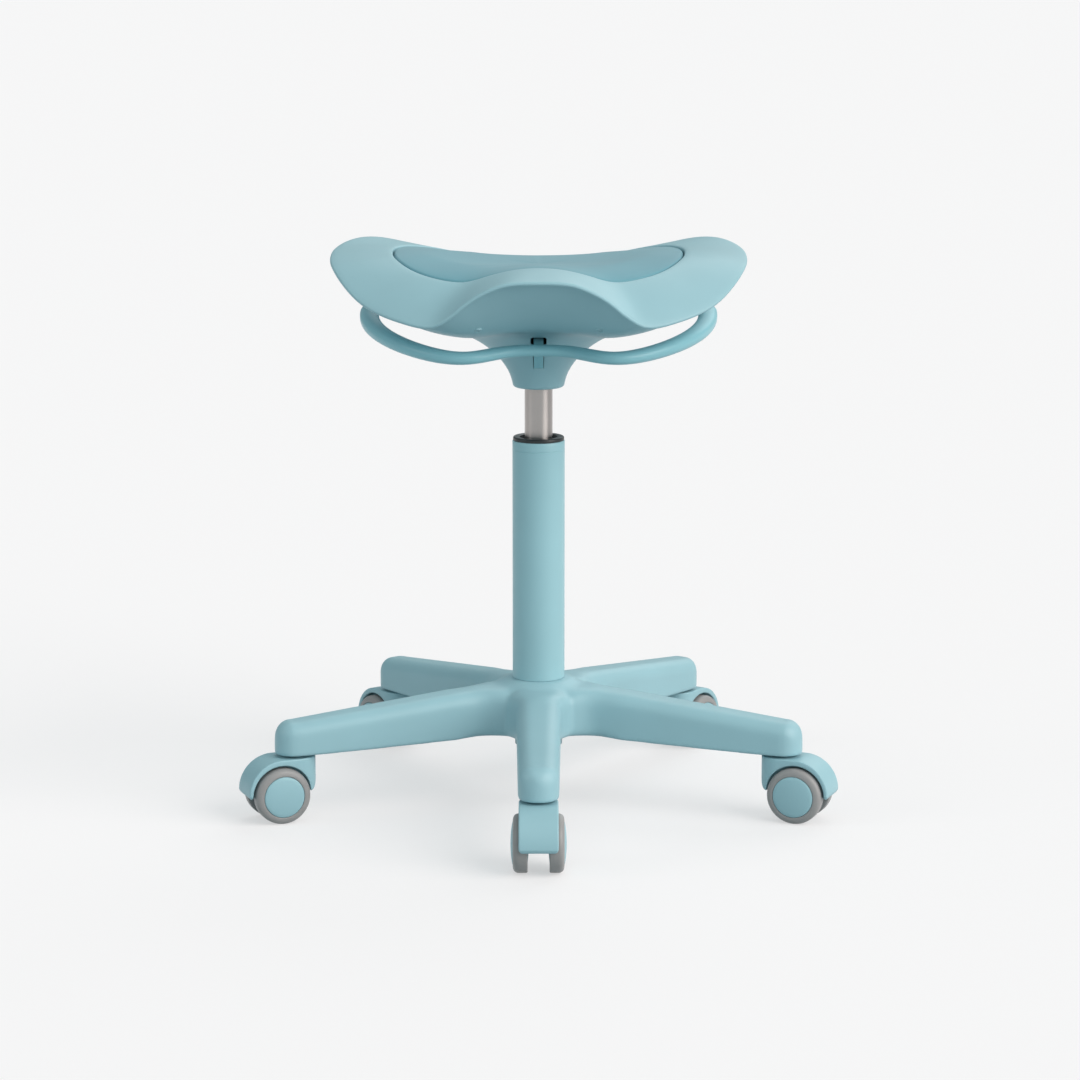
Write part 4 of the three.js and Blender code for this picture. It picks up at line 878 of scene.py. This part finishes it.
# %% [markdown]
# The base is one hollow moulding with five legs. A leg's section is a box with a rounded crown; it
# narrows towards the caster and its end is round in plan. Close to the hub, a leg's sides run into
# its neighbours' in a round crease. One leg is lofted from such sections, and so is the room that
# will hollow it, with slots in it where the three ribs stay.

# %% One leg
PIVOT, LEG_END, LEG_WEB, LEG_CROWN, LEG_WALL = 250.8, 19.3, 28, 13, 3.6
LEG_UNDER, LEG_END_DEPTH, LEG_ROOT_DEPTH, LEG_RISE, LEG_ROOT = 65.2, 32.3, 46.7, 6.4, 60
FOOT_ROUND, LEG_TAPER, LEG_NOSE = 1.6, 0.013, 16
HUB_TOP, HUB_WALL, HUB_BORE = 124, 7, 24.8
RIB_SHARES, RIB_THICKNESS, RIB_INSET = (-0.5, 0, 0.5), 2.4, 2.5
HALF_TURN = math.pi / 5


def leg_half_width(reach):
    root = LEG_END + LEG_TAPER * (PIVOT - LEG_ROOT)
    centre = (root + LEG_WEB) / math.sin(HALF_TURN)
    tangent = centre * math.cos(HALF_TURN)
    crease = (centre - LEG_WEB) * math.cos(HALF_TURN)
    if reach > PIVOT:
        return math.sqrt(max(0, LEG_END ** 2 - (reach - PIVOT) ** 2))
    if reach >= tangent:
        return LEG_END + LEG_TAPER * (PIVOT - reach)
    if reach <= crease:
        return reach * math.tan(HALF_TURN) + 0.3
    return centre * math.sin(HALF_TURN) - math.sqrt(LEG_WEB ** 2 - (reach - tangent) ** 2)


def root_share(reach):
    return max(0, min(1, (PIVOT - reach) / (PIVOT - LEG_ROOT)))


def leg_section(reach, inset, corners=7):
    widest = min(leg_half_width(reach), LEG_END) if inset else leg_half_width(reach)
    half = max(widest - inset, 0.3)
    nose = min(max(0, LEG_NOSE - (PIVOT + LEG_END - reach)), LEG_NOSE)
    drop = LEG_NOSE - math.sqrt(LEG_NOSE ** 2 - nose ** 2)
    depth = mix(LEG_END_DEPTH, LEG_ROOT_DEPTH + LEG_RISE, root_share(reach))
    crown = LEG_UNDER + depth - drop - inset
    foot = LEG_UNDER + LEG_RISE * min(1, root_share(reach + LEG_END)) - (2 if inset else 0)
    across = min(LEG_CROWN - inset / 2, half * 0.8)
    down = min(LEG_CROWN - inset / 2, (crown - foot) * 0.6)
    edge = 0 if inset else min(FOOT_ROUND, half * 0.5)
    side = [(half - edge, foot), (half - edge * 0.3, foot + edge * 0.3), (half, foot + edge)]
    for i in range(corners):
        angle = math.radians(90 * i / (corners - 1))
        side.append((half - across * (1 - math.cos(angle)), crown - down * (1 - math.sin(angle))))
    if inset:
        side = side[2:]
    return [Vector((reach, y, z)) for y, z in side + [(-y, z) for y, z in reversed(side)]]


def leg_loft(name, reaches, inset):
    rows = [leg_section(reach, inset) for reach in reaches]
    ends = [sum(row, Vector()) / len(row) for row in (rows[0], rows[-1])]
    return wrap_sphere(name, rows, *ends)


web_reach = (LEG_END + LEG_TAPER * (PIVOT - LEG_ROOT) + LEG_WEB) / math.tan(HALF_TURN)
room_start, room_end = HUB_BORE + HUB_WALL + LEG_WALL, PIVOT - LEG_END
root_reaches = [web_reach * share for share in (0.2, 0.55, 0.62, 0.7, 0.78, 0.86, 0.93, 1)]
tip_reaches = [PIVOT + LEG_END * share for share in (0.3, 0.5, 0.66, 0.8, 0.9, 0.96, 0.99)]
leg = leg_loft("leg", root_reaches + [100, 150, 200, PIVOT] + tip_reaches, 0)
room = leg_loft("leg_room", [room_start, web_reach * 0.8, web_reach, room_end], LEG_WALL)
rib_foot = LEG_UNDER + LEG_RISE + RIB_INSET
for share in RIB_SHARES:
    middle = share * (LEG_END - LEG_WALL)
    combine(room, block((room_start - 2, middle - RIB_THICKNESS / 2, rib_foot),
                        (room_end + 2, middle + RIB_THICKNESS / 2, HUB_TOP)), "DIFFERENCE")
print("leg", len(leg.data.polygons), "faces, hollow", len(room.data.polygons))

# %% [markdown]
# Five copies of the leg are laid over a turned hub and joined as they are, without being cut to
# each other: a cut between faces that nearly coincide can fail. Melting the lot into one fine even
# net and calming it, most of all round the hub, gives the soft blends of a real moulding.

# %% Star base
SKIRT, HUB_FOOT = web_reach * 0.72, LEG_UNDER + LEG_RISE - 1.8
BLEND_FROM, BLEND_GROWS, BLEND_TO, BLEND_FADES, BLEND_PASSES = 30, 8, 96, 25, 110


def copy_to(master, name, place):
    copy = master.copy()
    copy.data = master.data.copy()
    copy.name = name
    bpy.context.scene.collection.objects.link(copy)
    copy.data.transform(place)
    return copy


def five_times(master):
    for number in range(5):
        place = Matrix.Rotation(math.tau * (number / 5 - 0.25), 4, "Z")
        yield copy_to(master, f"{master.name}_{number + 1}", place)
    bpy.data.objects.remove(master)


def melt_down(piece, voxel, passes=0):
    """One even net over all of the piece's solids, then as many calming passes as asked."""
    melt = piece.modifiers.new("melt", "REMESH")
    melt.mode, melt.voxel_size = "VOXEL", voxel * MM
    if passes:
        calm = piece.modifiers.new("calm", "SMOOTH")
        calm.factor, calm.iterations = 0.5, passes
    apply_all(piece)


base = turned("star_base_skin", [
    (0, HUB_FOOT), (SKIRT * 0.8, HUB_FOOT), (SKIRT, HUB_FOOT + HUB_WALL), (SKIRT, HUB_TOP - 18),
    (SKIRT * 0.92, HUB_TOP - 9.5), (SKIRT * 0.8, HUB_TOP - 4.2), (SKIRT * 0.67, HUB_TOP - 1.2),
    (HUB_BORE + 1, HUB_TOP), (0, HUB_TOP)], 72)
only(*five_times(leg), base)
bpy.ops.object.join()
melt_down(base, voxel=1.5, passes=6)
near_hub = base.vertex_groups.new(name="near_hub")
for vertex in base.data.vertices:
    reach = math.hypot(vertex.co.x, vertex.co.y) / MM
    weight = (smooth_step((reach - BLEND_FROM) / BLEND_GROWS)
              * smooth_step((BLEND_TO - reach) / BLEND_FADES))
    if weight > 0:
        near_hub.add([vertex.index], weight, "REPLACE")
blend = base.modifiers.new("blend", "SMOOTH")
blend.factor, blend.iterations, blend.vertex_group = 0.5, BLEND_PASSES, "near_hub"
apply_all(base)
base.vertex_groups.clear()
print("melted base", len(base.data.polygons), "faces")

# %% [markdown]
# The rooms under the legs, the sockets for the casters' stems and the tapered bore for the column
# are cut last, so that their edges stay crisp. Each is a clean cut from outside, which works well.

# %% Hollow the base
STEM_BORE, SOCKET_DEPTH = 6.2, 21.5

for copy in five_times(room):
    combine(base, copy, "DIFFERENCE")
for copy in five_times(upright(STEM_BORE, 60, LEG_UNDER + SOCKET_DEPTH, PIVOT, 0)):
    combine(base, copy, "DIFFERENCE")
hub_bore = turned("hub_bore", [
    (0, 66), (23.8, 66), (HUB_BORE, HUB_TOP), (HUB_BORE, 130), (0, 130)], 96)
combine(base, hub_bore, "DIFFERENCE")
soften(base, 30)
hand_over(base, "base", moulded, ["star_base"])

# %% [markdown]
# A caster has a hood over twin wheels. Its plan is a long D round the pivot, its side an arch that
# follows the wheels, its front a U whose tips are round, and each side is scooped out so that the
# wheel sits in it. The block that these three outlines have in common is the hood. It is melted
# once before the wells are cut, so that the cut meets an even net, and once after, which rounds
# the edges.

# %% Caster hood
TRAIL, WHEEL, HOOD_TOP, HOOD_HALF, HOOD_BACK = 18.2, 27.5, 62.8, 18.5, 20.6
HOOD_ARCH, WELL, WEB_HALF, TIP_HEIGHT, TIP_ROUND = 33.6, 29.9, 8.5, 25.5, 5
HOOD_REACH, WELL_DEPTH = TRAIL + HOOD_ARCH, 20
SIDE_HALF, FRONT_START, FRONT_LENGTH = 22, -30, 100
side_outline = [
    (-HOOD_BACK - 2, HOOD_TOP), (-HOOD_BACK - 2, 52), (-HOOD_BACK, 47), (-20.04, 39.7),
    (-18.4, 33.75), (-15.6, 30.2), (-11.5, 29), (TRAIL - 9, 22.1), (TRAIL - 4.5, 18.5),
    (TRAIL + 4.5, 18.5)]
side_outline += [(HOOD_REACH - TIP_ROUND, TIP_HEIGHT), (HOOD_REACH - 1.8, TIP_HEIGHT + 0.7)]
side_outline += arc((TRAIL, HOOD_TOP - HOOD_ARCH), HOOD_ARCH, 0, 90, 24)
plan_outline = [(HOOD_REACH + 2, -HOOD_HALF), (HOOD_REACH + 2, HOOD_HALF)]
plan_outline += [(HOOD_BACK / HOOD_HALF * x, y) for x, y in arc((0, 0), HOOD_HALF, 90, 270, 24)]
front_outline = [(HOOD_HALF, HOOD_TOP + 2), (-HOOD_HALF, HOOD_TOP + 2)]
front_outline += arc((-HOOD_HALF + TIP_ROUND, TIP_HEIGHT + TIP_ROUND), TIP_ROUND, 180, 270, 6)
front_outline += [(-WEB_HALF, TIP_HEIGHT), (-WEB_HALF, 10), (WEB_HALF, 10), (WEB_HALF, TIP_HEIGHT)]
front_outline += arc((HOOD_HALF - TIP_ROUND, TIP_HEIGHT + TIP_ROUND), TIP_ROUND, 270, 360, 6)

stand_up = Matrix.Translation((0, SIDE_HALF * MM, 0)) @ Matrix.Rotation(math.radians(90), 4, "X")
face_front = (Matrix.Translation((FRONT_START * MM, 0, 0))
              @ Matrix(((0, 0, 1), (1, 0, 0), (0, 1, 0))).to_4x4())
plan, side, front = ([Vector((x, y, 0)) for x, y in outline]
                     for outline in (plan_outline, side_outline, front_outline))
hood = extruded("hood", plan, (0, 0, HOOD_TOP + 3))
combine(hood, extruded("hood_side", side, (0, 0, 2 * SIDE_HALF), stand_up), "INTERSECT")
combine(hood, extruded("hood_front", front, (0, 0, FRONT_LENGTH), face_front), "INTERSECT")
melt_down(hood, voxel=0.5)
for across in (-HOOD_HALF, HOOD_HALF):
    well = rod(WELL, WELL_DEPTH, (TRAIL, across, WHEEL), (math.radians(90), 0, 0), 96)
    combine(hood, well, "DIFFERENCE")
combine(hood, upright(STEM_BORE, HOOD_TOP - SOCKET_DEPTH, 70, 0, 0), "DIFFERENCE")
melt_down(hood, voxel=0.75, passes=3)
only(hood)
bpy.ops.object.shade_smooth()
print("hood", len(hood.data.polygons), "faces")

# %% [markdown]
# A wheel is a blue core with a plain, slightly domed face, and a grey tyre round it whose outer
# shoulder is well rounded. Both are lathe profiles, drawn upright and then laid along the axle.

# %% Wheel core and tyre
core = turned("core", [
    (0, 21.3), (3.3, 21.3), (3.3, 9), (9, 9), (9.6, 9.3), (19.8, 10.3), (20.2, 10.7), (20.2, 23.5),
    (20.0, 24.0), (19.5, 24.3), (16.5, 24.9), (11, 25.6), (5, 26.0), (0, 26.1)], 72)
tyre = turned("tyre", [(20.4, 10.5)] + arc((26.3, 11.4), 1.2, -90, 0, 4) + [
    (27.5, 18.4), (27.4, 19.6), (27.05, 20.8), (26.4, 21.9), (25.4, 22.8), (24.2, 23.4),
    (22.8, 23.8), (21.3, 24.0), (20.8, 23.9), (20.45, 23.5)], 96)
stem = turned("stem", [
    (0, 42), (5.2, 42), (5.5, 42.3), (5.5, 63.1), (8.7, 63.1), (9, 63.3), (9, 64.1), (8.7, 64.3),
    (5.5, 64.3), (5.5, 85.3), (5.0, 85.8), (0, 85.8)], 48)
for piece in (core, tyre, stem):
    soften(piece, 40)


def laid_on_axle(across):
    return (Matrix.Translation((TRAIL * MM, 0, WHEEL * MM))
            @ Matrix.Rotation(-across * math.radians(90), 4, "X"))


print("core", len(core.data.polygons), "tyre", len(tyre.data.polygons), "faces")

# %% [markdown]
# The five casters are copies, set out on the pivot circle with the first one in front. Casters
# never stand quite alike once a stool has been moved, so the two at the sides are turned by a few
# degrees. Hoods ride with their casters, and core and tyre turn with their wheel.

# %% Five casters
CASTER_TURNS = (0, -4, 0, 0, 4)

for number, caster_turn in enumerate(CASTER_TURNS, 1):
    angle = math.tau * ((number - 1) / 5 - 0.25)
    spot = (Matrix.Translation((PIVOT * MM * math.cos(angle), PIVOT * MM * math.sin(angle), 0))
            @ Matrix.Rotation(angle + math.radians(caster_turn), 4, "Z"))
    hand_over(copy_to(hood, f"hood_skin_{number}", spot), f"caster_{number}",
              moulded, [f"caster_hood_{number}"])
    hand_over(copy_to(stem, f"stem_skin_{number}", spot), "base", plated,
              [f"caster_stem_{number}"])
    for side, across in (("left", -1), ("right", 1)):
        place = spot @ laid_on_axle(across)
        hand_over(copy_to(core, f"wheel_skin_{number}_{side}", place), f"wheel_{number}_{side}",
                  moulded, [f"wheel_{number}_{side}"])
        hand_over(copy_to(tyre, f"tyre_skin_{number}_{side}", place), f"wheel_{number}_{side}",
                  tread, [f"tyre_{number}_{side}"])
for master in (hood, stem, core, tyre):
    bpy.data.objects.remove(master)

# %% [markdown]
# Screws hold the cover and the seat's mount to the shell. One screw is modelled with a hexagonal
# socket in its domed head and copied to the eight places, all with their heads down.

# %% Screws
HEAD_RADIUS, HEAD_HEIGHT, HEAD_DOME, HEX_DEPTH = 4, 3, 1.2, 1.6
COVER_SHANK, MOUNT_SHANK, MOUNT_SPREAD = 2, 3, 42


def screw(name, shank, low, tip, x, y):
    head, head_top = HEAD_RADIUS, low + HEAD_HEIGHT
    body = turned(name, [
        (0, low), (head * 0.75, low), (head, low + HEAD_DOME), (head, head_top),
        (shank, head_top), (shank, tip - 1), (shank * 0.5, tip), (0, tip)], 32)
    socket = upright(head * 0.5, low - 1, low + HEX_DEPTH, 0, 0, 6)
    combine(body, socket, "DIFFERENCE")
    body.data.transform(Matrix.Translation((x * MM, y * MM, 0)))
    soften(body, 40)
    return body


for end, side, x, y in SCREW_PLACES:
    low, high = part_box(f"cover_screw_{end}_{side}")
    piece = screw(f"cover_screw_skin_{end}_{side}", COVER_SHANK, low.z / MM, high.z / MM, x, y)
    hand_over(piece, "seat", plated, [f"cover_screw_{end}_{side}"])
    low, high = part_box(f"mount_screw_{end}_{side}")
    piece = screw(f"mount_screw_skin_{end}_{side}", MOUNT_SHANK, low.z / MM, high.z / MM,
                  math.copysign(MOUNT_SPREAD, x), math.copysign(MOUNT_SPREAD, y))
    hand_over(piece, "seat", plated, [f"mount_screw_{end}_{side}"])

# %% [markdown]
# What is left are inner pieces that hardly show: they keep their measured shapes and get the
# finish that the real piece would have.

# %% Inner pieces
INNER = {
    plated: ["seat_mount", "lever_pin", "release_button", "rod_clip", "thrust_bearing"],
    brushed: ["piston_rod"],
    black_plastic: ["rod_bush"],
    black_rubber: ["rubber_damper"],
}
INNER[plated] += [f"caster_axle_{number}" for number in range(1, 6)]
for material, names in INNER.items():
    for name in names:
        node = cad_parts[name]
        node.data.materials.clear()
        node.data.materials.append(material)
print("inner pieces", sum(len(names) for names in INNER.values()))
